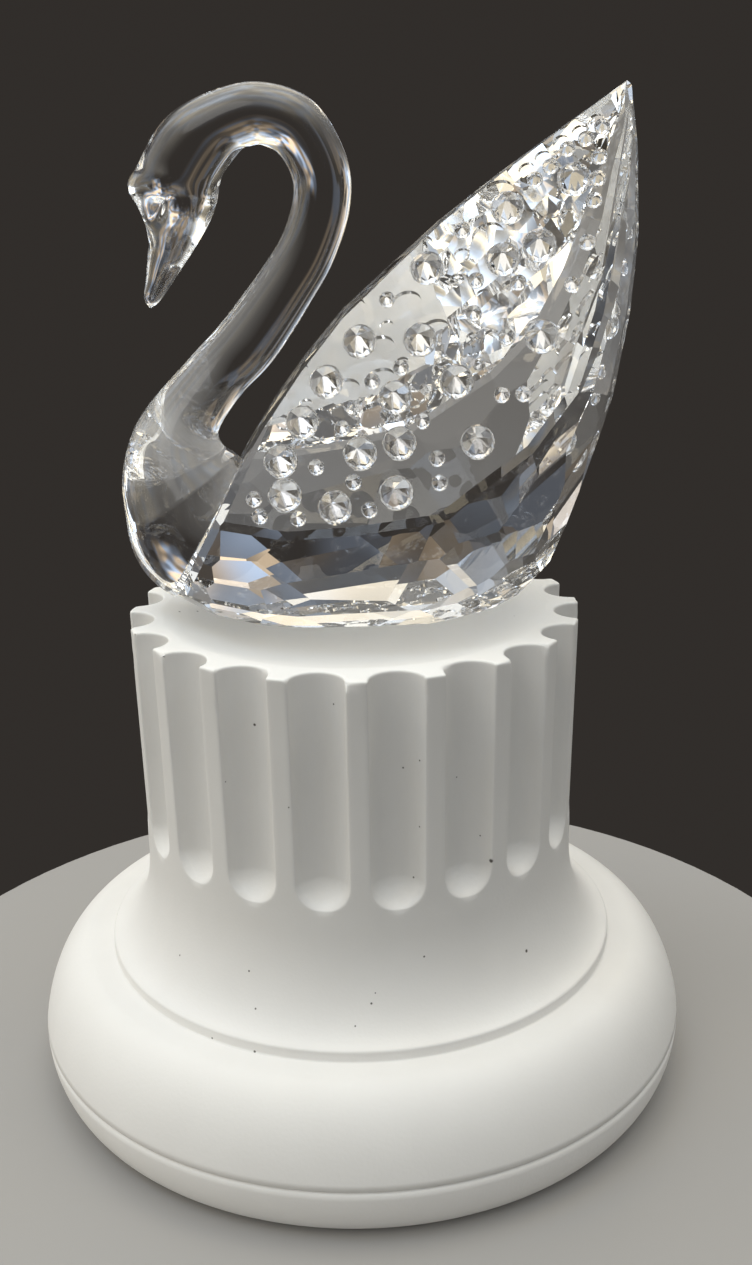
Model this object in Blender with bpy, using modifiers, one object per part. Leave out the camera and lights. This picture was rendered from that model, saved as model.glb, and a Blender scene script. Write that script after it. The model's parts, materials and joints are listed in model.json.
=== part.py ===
"""A crystal swan with stones set in its wings, resting in the dish of a white fluted pedestal.

Metres, +Z up. The origin is the centre of the pedestal's underside. The swan looks along -X, and
y = 0 is its plane of symmetry. Its left wing is on the -Y side.
"""
import math

import bmesh
import bpy
import numpy as np
from mathutils import Matrix, Vector

# Pedestal: one lathe-turned form, from the column outwards and from the foot upwards
COLUMN_TOP_RADIUS = 0.0235
COLUMN_TAPER = 0.0004
FLARE_WIDTH = 0.0045
STEP_WIDTH = 0.0022
SWELL_WIDTH = 0.0060
FOOT_INSET = 0.0034
SWELL_MIDDLE_HEIGHT = 0.0032
SEAM_HEIGHT = 0.0064
SEAM_WIDTH = 0.0004
SEAM_DEPTH = 0.0002
SWELL_TOP_HEIGHT = 0.0146
LEDGE_STEP = 0.0012
FLARE_HEIGHT = 0.0095
COLUMN_FOOT_HEIGHT = 0.00285

# Flutes and the dish, cut into the column
FLUTE_COUNT = 20
FLUTE_RADIUS = 0.00262
FLUTE_LENGTH = 0.02345
DISH_LIP = 0.0010
DISH_FLOOR_RADIUS = 0.0090
DISH_DEPTH = 0.0018

# Swan: its pose and outline are shares of its height, keel to tail tip
SWAN_HEIGHT = 0.0526
WING_LEAN = math.radians(26.0)
WING_TAPER = math.radians(11.0)
REST_GAP = 0.0003
JOINT_GAP = 0.0003
EDGE_CHAMFER = 0.00045
JOINT_CHAMFER = 0.0008
JOINT_CHAMFER_ROWS = 3

# Stones: round-cut, set with their points outwards
LARGE_STONE_RADIUS = 0.00158
SMALL_STONE_RADIUS = 0.00075
STONE_RISE = 0.92
LARGE_GIRDLE = 0.0003
LARGE_STONE_PROUD = 0.00012
SEAT_CLEARANCE = 0.00008
SMALL_STONE_SINK = 0.0003
SMALL_STONE_PROUD = 0.00008

# What follows from the sizes above
SHAFT_RADIUS = COLUMN_TOP_RADIUS - COLUMN_TAPER
LEDGE_RADIUS = SHAFT_RADIUS + FLARE_WIDTH
LEDGE_HEIGHT = SWELL_TOP_HEIGHT + LEDGE_STEP
FLARE_TOP_HEIGHT = LEDGE_HEIGHT + FLARE_HEIGHT
FLUTE_FOOT_HEIGHT = FLARE_TOP_HEIGHT + COLUMN_FOOT_HEIGHT
PEDESTAL_HEIGHT = FLUTE_FOOT_HEIGHT + FLUTE_LENGTH
DISH_RADIUS = COLUMN_TOP_RADIUS - FLUTE_RADIUS - DISH_LIP
SEAT_DEPTH = LARGE_GIRDLE - LARGE_STONE_PROUD + SEAT_CLEARANCE

# Fineness
LATHE_STEPS = 40
FLARE_ROWS = 4
SWELL_ROWS = 8
FOOT_ROWS = 3
DISH_ROWS = 2
FLUTE_SIDES = 12
NECK_SIDES = 14
NECK_ROWS_PER_STATION = 3
STONE_SIDES = 8
SMALL_STONE_SIDES = 5
BOTTOM_COLUMNS = 9
REAR_COLUMNS = 6
CLOUD_STATIONS = 60
CLOUD_ANGLES = 13
HULL_ROW_ANGLES = [math.radians(angle) for angle in (4.0, 17.0, 32.0, 52.0, 73.0)]
KEEL_ANGLE = math.radians(90.0)
STATION_SMOOTHNESS = 20
SLOPE_STEPS = 10
ANGLE_STEP = math.radians(3.0)

AXIS_TOLERANCE = 1e-5
CUT_TOLERANCE = 1e-6
WELD_DISTANCE = 2e-6
BLOCK_SIZE = 0.4
MIRROR = Vector((1.0, -1.0, 1.0))

# Body outline in the side view, percent of the swan's height: x from the axis, z from the keel
JOINT_TOP = (-21.2, 32.6)
JOINT_FOOT = (-35.3, 5.6)
CREST_CORNERS = [JOINT_TOP, (-15.7, 41.3), (-8.9, 50.6), (-1.1, 59.8), (7.3, 67.3), (16.9, 75.8),
                 (28.0, 84.2), (38.9, 91.7), (51.4, 100.2)]
KEEL_POINTS = [(-36.7, 6.7), (-25.0, 2.1), (-11.9, 0.15), (3.0, 0.0), (17.1, 0.6), (29.0, 4.0),
               (36.8, 10.3), (41.5, 20.2), (45.9, 33.3), (49.3, 45.8), (51.9, 59.6), (53.2, 73.4),
               (52.8, 87.5), (51.4, 100.0)]
# Distance from each keel point up to the wing's lower edge, percent of the swan's height
HULL_DEPTHS = [20.0, 22.4, 24.2, 26.2, 29.2, 31.5, 30.8, 26.0, 17.0, 11.2, 8.4, 6.4, 3.0, 0.6]
KEEL_CORNER = 7

# Neck stations from beak to joint, percent of the swan's height:
# outer x, outer z, inner x, inner z, half width
NECK_STATIONS = [
    (-37.1, 61.6, -36.7, 61.5, 0.3),
    (-37.9, 63.6, -35.0, 62.7, 1.3),
    (-37.2, 67.3, -32.1, 66.5, 2.1),
    (-36.5, 74.4, -26.5, 74.2, 3.7),
    (-37.6, 79.5, -23.6, 79.6, 5.0),
    (-38.0, 85.0, -22.4, 84.3, 5.7),
    (-33.0, 93.6, -18.7, 89.0, 5.8),
    (-25.4, 98.4, -16.7, 89.7, 5.6),
    (-15.5, 100.6, -14.9, 89.8, 5.4),
    (-5.6, 97.3, -11.9, 88.2, 5.4),
    (0.2, 88.0, -9.7, 84.1, 5.3),
    (0.8, 79.2, -9.8, 79.7, 5.3),
    (-2.4, 69.7, -12.0, 74.0, 5.3),
    (-6.7, 62.4, -15.8, 68.3, 5.4),
    (-14.2, 51.6, -23.6, 58.8, 5.9),
    (-20.5, 45.3, -30.0, 52.3, 6.4),
    (-25.2, 38.6, -40.3, 41.0, 8.6),
    (-24.6, 35.2, -44.2, 30.2, 11.4),
    (-22.4, 33.6, -43.9, 19.4, 13.4),
]
NECK_END_HALF_WIDTH = 13.6
BREAST_TURN_STEPS = 6
BREAST_SWELL_PERCENT = 4.0
# Carving of the head: centre x, centre z, spread, and depth as a share of the half width there;
# a minus depth stands out. The knob's last number is how far it stands out ahead of the brow.
HEAD_HOLLOWS = [(-34.0, 79.3, 1.9, 0.34), (-29.0, 78.0, 2.0, -0.10), (-36.2, 72.5, 1.6, 0.12)]
BROW_KNOB = (-38.0, 84.2, 2.0, 1.6)

# Places of the stones in the side view, percent of the swan's height: x from the axis, z from the keel
LARGE_STONES = [(28.9, 78.5), (14.3, 68.4), (34.2, 72.1), (27.8, 69.8), (40.7, 83.2), (33.9, 57.0),
                (1.9, 56.1), (12.7, 56.4), (18.9, 49.5), (-4.2, 49.3), (8.0, 46.8), (-8.7, 42.5),
                (8.6, 39.3), (22.2, 39.7), (1.6, 37.5), (-12.7, 36.0), (7.8, 31.2), (-12.0, 30.4),
                (-3.1, 28.6)]
SMALL_STONES = [(46.0, 92.0), (43.1, 90.0), (39.8, 88.3), (36.7, 85.4), (45.3, 86.9), (44.8, 83.3),
                (33.9, 83.2), (44.0, 79.6), (20.8, 74.7), (22.9, 66.3), (30.3, 65.9), (42.5, 72.6),
                (39.6, 65.6), (22.3, 60.8), (27.9, 56.9), (7.0, 63.1), (9.2, 51.7), (4.0, 49.4),
                (26.7, 47.4), (30.4, 47.6), (-1.5, 41.6), (12.7, 43.0), (-6.3, 35.1), (15.1, 36.9),
                (15.4, 33.0), (0.3, 32.8), (3.0, 28.3), (-17.6, 29.6), (-16.6, 26.8), (-9.7, 26.6)]
STONE_TURN = math.radians(137.5)

WHITE_PLASTER = (0.80, 0.79, 0.77, 1.0)
CLEAR_CRYSTAL = (0.93, 0.95, 0.96, 1.0)
CRYSTAL_INDEX = 1.56


def clear_scene():
    """Remove every object that is already there."""
    for old in list(bpy.data.objects):
        bpy.data.objects.remove(old, do_unlink=True)


def new_collection(name):
    """Make a collection under the scene's own."""
    collection = bpy.data.collections.new(name)
    bpy.context.scene.collection.children.link(collection)
    return collection


def make_material(name, colour, roughness, clear=0.0):
    """A Principled material; clear is its transmission."""
    material = bpy.data.materials.new(name)
    material.use_nodes = True
    shader = material.node_tree.nodes["Principled BSDF"]
    shader.inputs["Base Color"].default_value = colour
    shader.inputs["Roughness"].default_value = roughness
    shader.inputs["Metallic"].default_value = 0.0
    shader.inputs["Transmission Weight"].default_value = clear
    shader.inputs["IOR"].default_value = CRYSTAL_INDEX
    return material


def add_object(name, bm, collection, material=None):
    """Turn a bmesh into an object of that name."""
    mesh = bpy.data.meshes.new(name)
    bm.to_mesh(mesh)
    bm.free()
    thing = bpy.data.objects.new(name, mesh)
    collection.objects.link(thing)
    if material:
        mesh.materials.append(material)
    return thing


def add_cutter(name, bm, collection):
    """A shape that only cuts: hidden in renders and drawn as wires."""
    cutter = add_object(name, bm, collection)
    cutter.hide_render = True
    cutter.display_type = "WIRE"
    return cutter


def add_boolean(thing, cutter, operation, own_overlaps=False):
    """Cut a thing by a cutter, or join the two; own_overlaps is for a cutter whose shapes may meet."""
    modifier = thing.modifiers.new(operation.title(), "BOOLEAN")
    modifier.operation = operation
    modifier.solver = "EXACT"
    modifier.use_self = own_overlaps
    modifier.object = cutter


def smooth_rows(rows, steps):
    """A Catmull-Rom curve through the rows, with that many steps between each two."""
    rows = np.asarray(rows, float)
    before = np.vstack([2 * rows[0] - rows[1], rows[:-2], rows[-2]])[:len(rows) - 1]
    after = np.vstack([rows[2:], 2 * rows[-1] - rows[-2]])
    start, end = rows[:-1], rows[1:]
    t = (np.arange(steps) / steps)[:, None, None]
    curve = 0.5 * (2 * start + (end - before) * t + (2 * before - 5 * start + 4 * end - after) * t ** 2
                   + (3 * start - before - 3 * end + after) * t ** 3)
    return np.vstack([curve.transpose(1, 0, 2).reshape(-1, rows.shape[1]), rows[-1:]])


# The pedestal

def dish_height(radius):
    """Height of the dish's surface: a flat floor, then a gentle rise to its rim."""
    rise = max(0.0, radius - DISH_FLOOR_RADIUS) / (DISH_RADIUS - DISH_FLOOR_RADIUS)
    return PEDESTAL_HEIGHT - DISH_DEPTH * (1.0 - rise ** 2)


def pedestal_profile():
    """Points (radius, height) from the dish's middle, down the outside, to the underside's middle."""
    points = [(0.0, dish_height(0.0))]
    for row in range(DISH_ROWS + 1):
        radius = DISH_FLOOR_RADIUS + (DISH_RADIUS - DISH_FLOOR_RADIUS) * row / DISH_ROWS
        points.append((radius, dish_height(radius)))
    points.append((COLUMN_TOP_RADIUS, PEDESTAL_HEIGHT))
    points.append((SHAFT_RADIUS, FLUTE_FOOT_HEIGHT))
    for row in range(FLARE_ROWS + 1):
        angle = 0.5 * math.pi * row / FLARE_ROWS
        points.append((LEDGE_RADIUS - FLARE_WIDTH * math.cos(angle),
                       FLARE_TOP_HEIGHT - FLARE_HEIGHT * math.sin(angle)))
    points.append((LEDGE_RADIUS, SWELL_TOP_HEIGHT))
    swell_middle = LEDGE_RADIUS + STEP_WIDTH
    swell_rise = SWELL_TOP_HEIGHT - SWELL_MIDDLE_HEIGHT
    seam_angle = math.asin((SEAM_HEIGHT - SWELL_MIDDLE_HEIGHT) / swell_rise)
    for row in range(SWELL_ROWS + 1):
        angle = 0.5 * math.pi + (seam_angle - 0.5 * math.pi) * row / SWELL_ROWS
        points.append((swell_middle + SWELL_WIDTH * math.cos(angle),
                       SWELL_MIDDLE_HEIGHT + swell_rise * math.sin(angle)))
    seam_radius = points[-1][0]
    points.append((seam_radius - SEAM_DEPTH, SEAM_HEIGHT - 0.5 * SEAM_WIDTH))
    band_top = SEAM_HEIGHT - SEAM_WIDTH
    for row in range(FOOT_ROWS + 1):
        angle = 0.5 * math.pi * row / FOOT_ROWS
        points.append((seam_radius - FOOT_INSET * (1.0 - math.cos(angle)),
                       band_top * (1.0 - math.sin(angle))))
    points.append((0.0, 0.0))
    return points


def flute_cutters(cutters):
    """Upright rods with round lower ends, their axes on the column's surface."""
    bm = bmesh.new()
    bottom = FLUTE_FOOT_HEIGHT + FLUTE_RADIUS
    for flute in range(FLUTE_COUNT):
        ball = bmesh.ops.create_uvsphere(bm, u_segments=FLUTE_SIDES, v_segments=FLUTE_SIDES // 2,
                                         radius=FLUTE_RADIUS)["verts"]
        faces = list({face for vert in ball for face in vert.link_faces})
        edges = list({edge for vert in ball for edge in vert.link_edges})
        bmesh.ops.bisect_plane(bm, geom=ball + edges + faces, dist=CUT_TOLERANCE, plane_co=(0, 0, 0),
                               plane_no=(0, 0, 1), clear_outer=True)
        half = [vert for vert in bm.verts if vert.co.xy.length < 2 * FLUTE_RADIUS]
        rim = list({edge for vert in half for edge in vert.link_edges if edge.is_boundary})
        risen = bmesh.ops.extrude_edge_only(bm, edges=rim)["geom"]
        top_verts = [item for item in risen if isinstance(item, bmesh.types.BMVert)]
        top_edges = [item for item in risen if isinstance(item, bmesh.types.BMEdge)]
        bmesh.ops.translate(bm, verts=top_verts, vec=(0, 0, FLUTE_LENGTH))
        bmesh.ops.edgeloop_fill(bm, edges=[edge for edge in top_edges if edge.is_boundary])
        angle = -0.5 * math.pi + 2 * math.pi * (flute + 0.5) / FLUTE_COUNT
        place = Matrix.Rotation(angle, 4, "Z") @ Matrix.Translation((COLUMN_TOP_RADIUS, 0, bottom))
        bmesh.ops.transform(bm, matrix=place, verts=half + top_verts)
    bmesh.ops.recalc_face_normals(bm, faces=bm.faces[:])
    return add_cutter("flute_cutters", bm, cutters)


def make_pedestal(parts, cutters):
    """Turn the profile about Z, then cut the flutes."""
    bm = bmesh.new()
    verts = [bm.verts.new((radius, 0.0, height)) for radius, height in pedestal_profile()]
    for upper, lower in zip(verts, verts[1:]):
        bm.edges.new((upper, lower))
    pedestal = add_object("pedestal", bm, parts, make_material("white_plaster", WHITE_PLASTER, 0.75))
    screw = pedestal.modifiers.new("Turn", "SCREW")
    screw.angle = 2 * math.pi
    screw.steps = LATHE_STEPS
    screw.render_steps = LATHE_STEPS
    screw.use_merge_vertices = True
    screw.merge_threshold = AXIS_TOLERANCE
    add_boolean(pedestal, flute_cutters(cutters), "DIFFERENCE")
    return pedestal


# The swan's own frame

def of_height(percent):
    """A length in metres, from percent of the swan's height."""
    return SWAN_HEIGHT * percent / 100.0


def swan_point(x_percent, z_percent, y=0.0):
    """A point of the side view, from percent of the swan's height to metres."""
    keel_height = dish_height(0.0) + REST_GAP
    return Vector((of_height(x_percent), y, keel_height + of_height(z_percent)))


def wing_normal(side):
    """Outward normal of a wing: side -1 is the left wing, +1 the right."""
    return Vector((-math.sin(WING_TAPER) * math.cos(WING_LEAN),
                   side * math.cos(WING_TAPER) * math.cos(WING_LEAN), math.sin(WING_LEAN)))


def on_wing(x_percent, z_percent, side):
    """The point of a wing's plane that the side view shows at that place."""
    tip = swan_point(*CREST_CORNERS[-1])
    point = swan_point(x_percent, z_percent)
    normal = wing_normal(side)
    point.y = -((point - tip).dot(normal)) / normal.y
    return point


def joint_plane():
    """Middle and outward normal of the flat face that the breast is glued to."""
    top, foot = swan_point(*JOINT_TOP), swan_point(*JOINT_FOOT)
    along = (top - foot).normalized()
    return (top + foot) / 2, Vector((-along.z, 0.0, along.x))


# The faceted body

def hull_point(station, angle):
    """A point of the smooth hull: a quarter ellipse from the wing's lower edge to the keel.

    station counts keel points; angle is 0 at the wing's edge and a right angle at the keel.
    """
    keel_x, keel_z, depth = hull_row(station)
    ahead, behind = hull_row(station + 1.0 / SLOPE_STEPS), hull_row(station - 1.0 / SLOPE_STEPS)
    along = Vector((ahead[0] - behind[0], 0.0, ahead[1] - behind[1])).normalized()
    outward = Vector((along.z, 0.0, -along.x))
    edge_x = keel_x - outward.x * depth
    edge_z = keel_z - outward.z * depth
    half_width = abs(on_wing(edge_x, edge_z, -1).y)
    point = swan_point(edge_x, edge_z) + outward * (of_height(depth) * math.sin(angle))
    point.y = -half_width * math.cos(angle)
    return point


def hull_row(station):
    """Keel x, keel z and hull depth at a station that may lie between two keel points."""
    rows = np.column_stack([KEEL_POINTS, HULL_DEPTHS])
    fine = smooth_rows(rows, STATION_SMOOTHNESS)
    places = np.linspace(0.0, len(rows) - 1, len(fine))
    return [float(np.interp(station, places, fine[:, column])) for column in range(3)]


def hull_cloud():
    """Points spread over the whole smooth hull and the crest, which no cut may pass inside of."""
    stations = np.linspace(0.0, len(KEEL_POINTS) - 1, CLOUD_STATIONS)
    angles = np.linspace(0.0, KEEL_ANGLE, CLOUD_ANGLES)
    points = [hull_point(station, angle) for station in stations for angle in angles]
    points += [swan_point(*corner) for corner in CREST_CORNERS]
    left = np.array(points)
    return np.vstack([left, left * np.array(MIRROR)])


def touching_plane(normal, cloud):
    """The plane with that normal that just touches the cloud from outside."""
    reach = cloud @ np.array(normal)
    return Vector(cloud[int(np.argmax(reach))]), normal


def hull_plane(station, angle, cloud):
    """The plane that lies on the left hull there."""
    along = hull_point(station + 1.0 / SLOPE_STEPS, angle) - hull_point(station - 1.0 / SLOPE_STEPS, angle)
    down = hull_point(station, angle + ANGLE_STEP) - hull_point(station, angle - ANGLE_STEP)
    return touching_plane(down.cross(along).normalized(), cloud)


def hull_stations():
    """Middles of the hull's columns of facets: those under the body, then those of the rear."""
    bottom = [KEEL_CORNER * (column + 0.5) / BOTTOM_COLUMNS for column in range(BOTTOM_COLUMNS)]
    rear_length = len(KEEL_POINTS) - 1 - KEEL_CORNER
    rear = [KEEL_CORNER + rear_length * (column + 0.5) / REAR_COLUMNS for column in range(REAR_COLUMNS)]
    return bottom + rear


def body_planes():
    """Every plane that the body is cut by, as point and outward normal.

    The first list is of planes square to the plane of symmetry, the second of those on the left side.
    """
    cloud = hull_cloud()
    middle_planes = [joint_plane()]
    for (x_a, z_a), (x_b, z_b) in zip(CREST_CORNERS, CREST_CORNERS[1:]):
        here, there = swan_point(x_a, z_a), swan_point(x_b, z_b)
        along = (there - here).normalized()
        middle_planes.append((here, Vector((-along.z, 0.0, along.x))))
    wing_plane = (on_wing(*CREST_CORNERS[-1], -1), wing_normal(-1))
    hull_planes = []
    for station in hull_stations():
        ahead = hull_point(station + 1.0 / SLOPE_STEPS, KEEL_ANGLE)
        along = ahead - hull_point(station - 1.0 / SLOPE_STEPS, KEEL_ANGLE)
        middle_planes.append(touching_plane(Vector((along.z, 0.0, -along.x)).normalized(), cloud))
        hull_planes.append([hull_plane(station, angle, cloud) for angle in HULL_ROW_ANGLES])
    rim_cuts = [chamfer(wing_plane, column[0], EDGE_CHAMFER) for column in hull_planes[:-1]]
    beside_joint = [wing_plane] + hull_planes[0][:JOINT_CHAMFER_ROWS]
    joint_cuts = [chamfer(middle_planes[0], plane, JOINT_CHAMFER) for plane in beside_joint]
    facets = [plane for column in hull_planes for plane in column]
    return middle_planes, [wing_plane] + facets + rim_cuts + joint_cuts


def chamfer(plane_a, plane_b, width):
    """The plane that takes off the edge where two planes meet, width deep into each."""
    normal_a, normal_b = plane_a[1], plane_b[1]
    line = normal_a.cross(normal_b)
    offset_a, offset_b = plane_a[0].dot(normal_a), plane_b[0].dot(normal_b)
    edge = (offset_a * normal_b.cross(line) + offset_b * line.cross(normal_a)) / line.length_squared
    normal = (normal_a + normal_b).normalized()
    inset = width * math.sqrt(max(0.0, 1.0 - normal.dot(normal_a) ** 2))
    return edge - normal * inset, normal


def cut_by_plane(bm, point, normal):
    """Take away what lies outside a plane, and close the cut with one flat facet."""
    geometry = bm.verts[:] + bm.edges[:] + bm.faces[:]
    cut = bmesh.ops.bisect_plane(bm, geom=geometry, dist=WELD_DISTANCE, plane_co=point, plane_no=normal,
                                 clear_outer=True)["geom_cut"]
    edges = [item for item in cut if isinstance(item, bmesh.types.BMEdge) and item.is_boundary]
    if edges:
        bmesh.ops.edgeloop_fill(bm, edges=edges)


def wing_frame(x_percent, z_percent, side, turn):
    """Matrix that stands a stone on a wing: its local +Z is the wing's outward normal."""
    normal = wing_normal(side)
    tipward = Vector((1.0, 0.0, 1.0))
    along = (tipward - normal * tipward.dot(normal)).normalized()
    stand = Matrix((along, normal.cross(along), normal)).transposed().to_4x4()
    return Matrix.Translation(on_wing(x_percent, z_percent, side)) @ stand @ Matrix.Rotation(turn, 4, "Z")


def add_stone(bm, radius, sides, foot, girdle_top, rise, place):
    """Add a pointed stone: a short prism from foot to girdle_top, and a pyramid of that rise on it."""
    verts = bmesh.ops.create_cone(bm, cap_ends=True, segments=sides, radius1=radius, radius2=radius,
                                  depth=girdle_top - foot)["verts"]
    faces = {face for vert in verts for face in vert.link_faces}
    table = max(faces, key=lambda face: face.calc_center_median().z)
    point = bmesh.ops.poke(bm, faces=[table])["verts"][0]
    point.co.z += rise
    lift = Matrix.Translation((0.0, 0.0, 0.5 * (foot + girdle_top)))
    bmesh.ops.transform(bm, matrix=place @ lift, verts=verts + [point])


def stone_seats(cutters):
    """Round pockets in both wings, one for each large stone."""
    bm = bmesh.new()
    radius = LARGE_STONE_RADIUS + SEAT_CLEARANCE
    for side in (-1, 1):
        for number, (x_percent, z_percent) in enumerate(LARGE_STONES):
            place = wing_frame(x_percent, z_percent, side, number * STONE_TURN)
            bmesh.ops.create_cone(bm, cap_ends=True, segments=STONE_SIDES, radius1=radius, radius2=radius,
                                  depth=2 * SEAT_DEPTH, matrix=place)
    return add_cutter("stone_seats", bm, cutters)


def small_stone_points(cutters):
    """The small stones as one mesh of pointed pegs, sunk a little into the wings."""
    bm = bmesh.new()
    for side in (-1, 1):
        for number, (x_percent, z_percent) in enumerate(SMALL_STONES):
            place = wing_frame(x_percent, z_percent, side, number * STONE_TURN)
            add_stone(bm, SMALL_STONE_RADIUS, SMALL_STONE_SIDES, -SMALL_STONE_SINK, SMALL_STONE_PROUD,
                      STONE_RISE * SMALL_STONE_RADIUS, place)
    return add_cutter("small_stone_points", bm, cutters)


def make_body(parts, cutters, crystal):
    """Cut a block by every plane, then sink the seats and raise the small stones."""
    middle_planes, left_planes = body_planes()
    bm = bmesh.new()
    bmesh.ops.create_cube(bm, size=BLOCK_SIZE)
    for point, normal in middle_planes:
        cut_by_plane(bm, point, normal)
    for point, normal in left_planes:
        cut_by_plane(bm, point, normal)
        cut_by_plane(bm, point * MIRROR, normal * MIRROR)
    body = add_object("faceted_body", bm, parts, crystal)
    add_boolean(body, stone_seats(cutters), "DIFFERENCE", own_overlaps=True)
    add_boolean(body, small_stone_points(cutters), "UNION", own_overlaps=True)
    return body


def make_large_stones(parts, crystal):
    """The large stones of both wings, every one a separate object."""
    for side, wing in ((-1, "left"), (1, "right")):
        for number, (x_percent, z_percent) in enumerate(LARGE_STONES):
            bm = bmesh.new()
            add_stone(bm, LARGE_STONE_RADIUS, STONE_SIDES, LARGE_STONE_PROUD - LARGE_GIRDLE,
                      LARGE_STONE_PROUD, STONE_RISE * LARGE_STONE_RADIUS, Matrix.Identity(4))
            stone = add_object(f"wing_stone_{wing}_{number + 1:02d}", bm, parts, crystal)
            stone.matrix_world = wing_frame(x_percent, z_percent, side, number * STONE_TURN)


# The neck

def breast_rings():
    """The rings that turn about the nape until they lie in the joint's plane."""
    normal = joint_plane()[1]
    slip = JOINT_GAP / of_height(1.0)
    last = np.array(NECK_STATIONS[-1])
    end = np.array([JOINT_TOP[0] + normal.x * slip, JOINT_TOP[1] + normal.z * slip,
                    JOINT_FOOT[0] + normal.x * slip, JOINT_FOOT[1] + normal.z * slip, NECK_END_HALF_WIDTH])
    turn_start = math.atan2(last[3] - last[1], last[2] - last[0])
    turn_end = math.atan2(end[3] - end[1], end[2] - end[0])
    if turn_end < turn_start:
        turn_end += 2 * math.pi
    length_start = math.hypot(last[2] - last[0], last[3] - last[1])
    length_end = math.hypot(end[2] - end[0], end[3] - end[1])
    rows = []
    for step in range(1, BREAST_TURN_STEPS + 1):
        share = step / BREAST_TURN_STEPS
        outer = last[:2] + (end[:2] - last[:2]) * share
        turn = turn_start + (turn_end - turn_start) * share
        swell = 1.0 + BREAST_SWELL_PERCENT / 100.0 * math.sin(math.pi * share)
        length = (length_start + (length_end - length_start) * share) * swell
        inner = outer + length * np.array([math.cos(turn), math.sin(turn)])
        rows.append([*outer, *inner, last[4] + (end[4] - last[4]) * share])
    return rows


def nearness(outline, x_percent, z_percent, spread):
    """A bell curve: 1 at that place of the side view, and about 0 two or three spreads away."""
    distance = (outline[:, 0] - x_percent) ** 2 + (outline[:, 1] - z_percent) ** 2
    return np.exp(-distance / (2 * spread ** 2))


def neck_rings():
    """Rings of the neck from the beak to the joint, each an ellipse in a plane across the neck.

    A ring spans from the outer to the inner outline point. Hollows narrow it at the head, and the
    knob pushes its outer side out.
    """
    stations = np.vstack([smooth_rows(NECK_STATIONS, NECK_ROWS_PER_STATION), breast_rings()])
    angles = 2 * math.pi * np.arange(NECK_SIDES) / NECK_SIDES
    across = 0.5 * (1.0 + np.cos(angles))
    knob_x, knob_z, knob_spread, knob_height = BROW_KNOB
    rings = []
    for outer_x, outer_z, inner_x, inner_z, half_width in stations:
        outline = np.column_stack([inner_x + (outer_x - inner_x) * across,
                                   inner_z + (outer_z - inner_z) * across])
        widths = half_width * np.sin(angles)
        for x_percent, z_percent, spread, depth in HEAD_HOLLOWS:
            widths *= 1.0 - depth * nearness(outline, x_percent, z_percent, spread)
        knob = nearness(outline, knob_x, knob_z, knob_spread)
        outline[:, 0] -= knob_height * knob * np.maximum(0.0, np.cos(angles))
        rings.append(np.column_stack([outline, widths]))
    return rings


def make_neck(parts, crystal):
    """Skin the rings with faces, and close both ends."""
    bm = bmesh.new()
    rows = []
    for ring in neck_rings():
        row = []
        for x_percent, z_percent, y_percent in ring:
            row.append(bm.verts.new(swan_point(x_percent, z_percent, of_height(y_percent))))
        rows.append(row)
    for upper, lower in zip(rows, rows[1:]):
        for side in range(NECK_SIDES):
            after = (side + 1) % NECK_SIDES
            bm.faces.new((upper[side], upper[after], lower[after], lower[side]))
    bm.faces.new(rows[0])
    bm.faces.new(rows[-1])
    bmesh.ops.recalc_face_normals(bm, faces=bm.faces[:])
    neck = add_object("neck_and_breast", bm, parts, crystal)
    neck.data.shade_smooth()
    return neck


def main():
    clear_scene()
    parts = new_collection("crystal_swan")
    cutters = new_collection("cutters")
    crystal = make_material("clear_crystal", CLEAR_CRYSTAL, 0.0, clear=1.0)
    make_pedestal(parts, cutters)
    make_body(parts, cutters, crystal)
    make_neck(parts, crystal)
    make_large_stones(parts, crystal)


main()
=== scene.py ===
# %% [markdown]
# # A crystal swan on a white fluted pedestal
#
# The object is a small cut-crystal swan that lies in the shallow dish of a matte white stand. Three
# kinds of surface meet in it: a turned and fluted casting, a smooth bent neck of clear glass, and a
# body that is all flat facets, with stones set in its wings. Each one is worked out here from a
# formula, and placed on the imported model, whose frame has its origin under the pedestal and +Z up.

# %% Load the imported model
import json
import math

import bmesh
import bpy
import numpy as np
from mathutils import Matrix, Vector

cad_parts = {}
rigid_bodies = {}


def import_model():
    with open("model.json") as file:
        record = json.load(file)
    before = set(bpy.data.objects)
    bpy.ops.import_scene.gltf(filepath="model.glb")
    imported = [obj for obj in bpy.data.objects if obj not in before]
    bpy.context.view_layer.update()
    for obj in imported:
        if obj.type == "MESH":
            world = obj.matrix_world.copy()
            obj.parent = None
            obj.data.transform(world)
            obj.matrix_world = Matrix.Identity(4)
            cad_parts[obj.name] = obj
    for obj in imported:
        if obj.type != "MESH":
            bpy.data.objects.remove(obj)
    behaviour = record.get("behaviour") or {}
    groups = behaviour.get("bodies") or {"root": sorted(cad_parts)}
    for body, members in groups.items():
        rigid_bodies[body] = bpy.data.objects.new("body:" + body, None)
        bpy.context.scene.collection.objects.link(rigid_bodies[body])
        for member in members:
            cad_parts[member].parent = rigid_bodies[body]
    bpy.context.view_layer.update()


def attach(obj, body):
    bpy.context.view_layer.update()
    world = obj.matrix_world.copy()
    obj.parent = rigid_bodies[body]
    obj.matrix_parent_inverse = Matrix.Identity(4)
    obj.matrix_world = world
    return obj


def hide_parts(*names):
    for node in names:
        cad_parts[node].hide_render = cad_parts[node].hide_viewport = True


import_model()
MM = 0.001

# %% [markdown]
# ## The camera
#
# The camera stands where the photographer stood. Its place was found from the pedestal: the rim of
# the column and the rings of the base are circles, and how flat each one looks, and how it shrinks
# with distance, fixes the height, the distance and the lens. An empty could aim the camera, but a
# rotation built from three directions also keeps the slight tilt of the picture.

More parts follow.
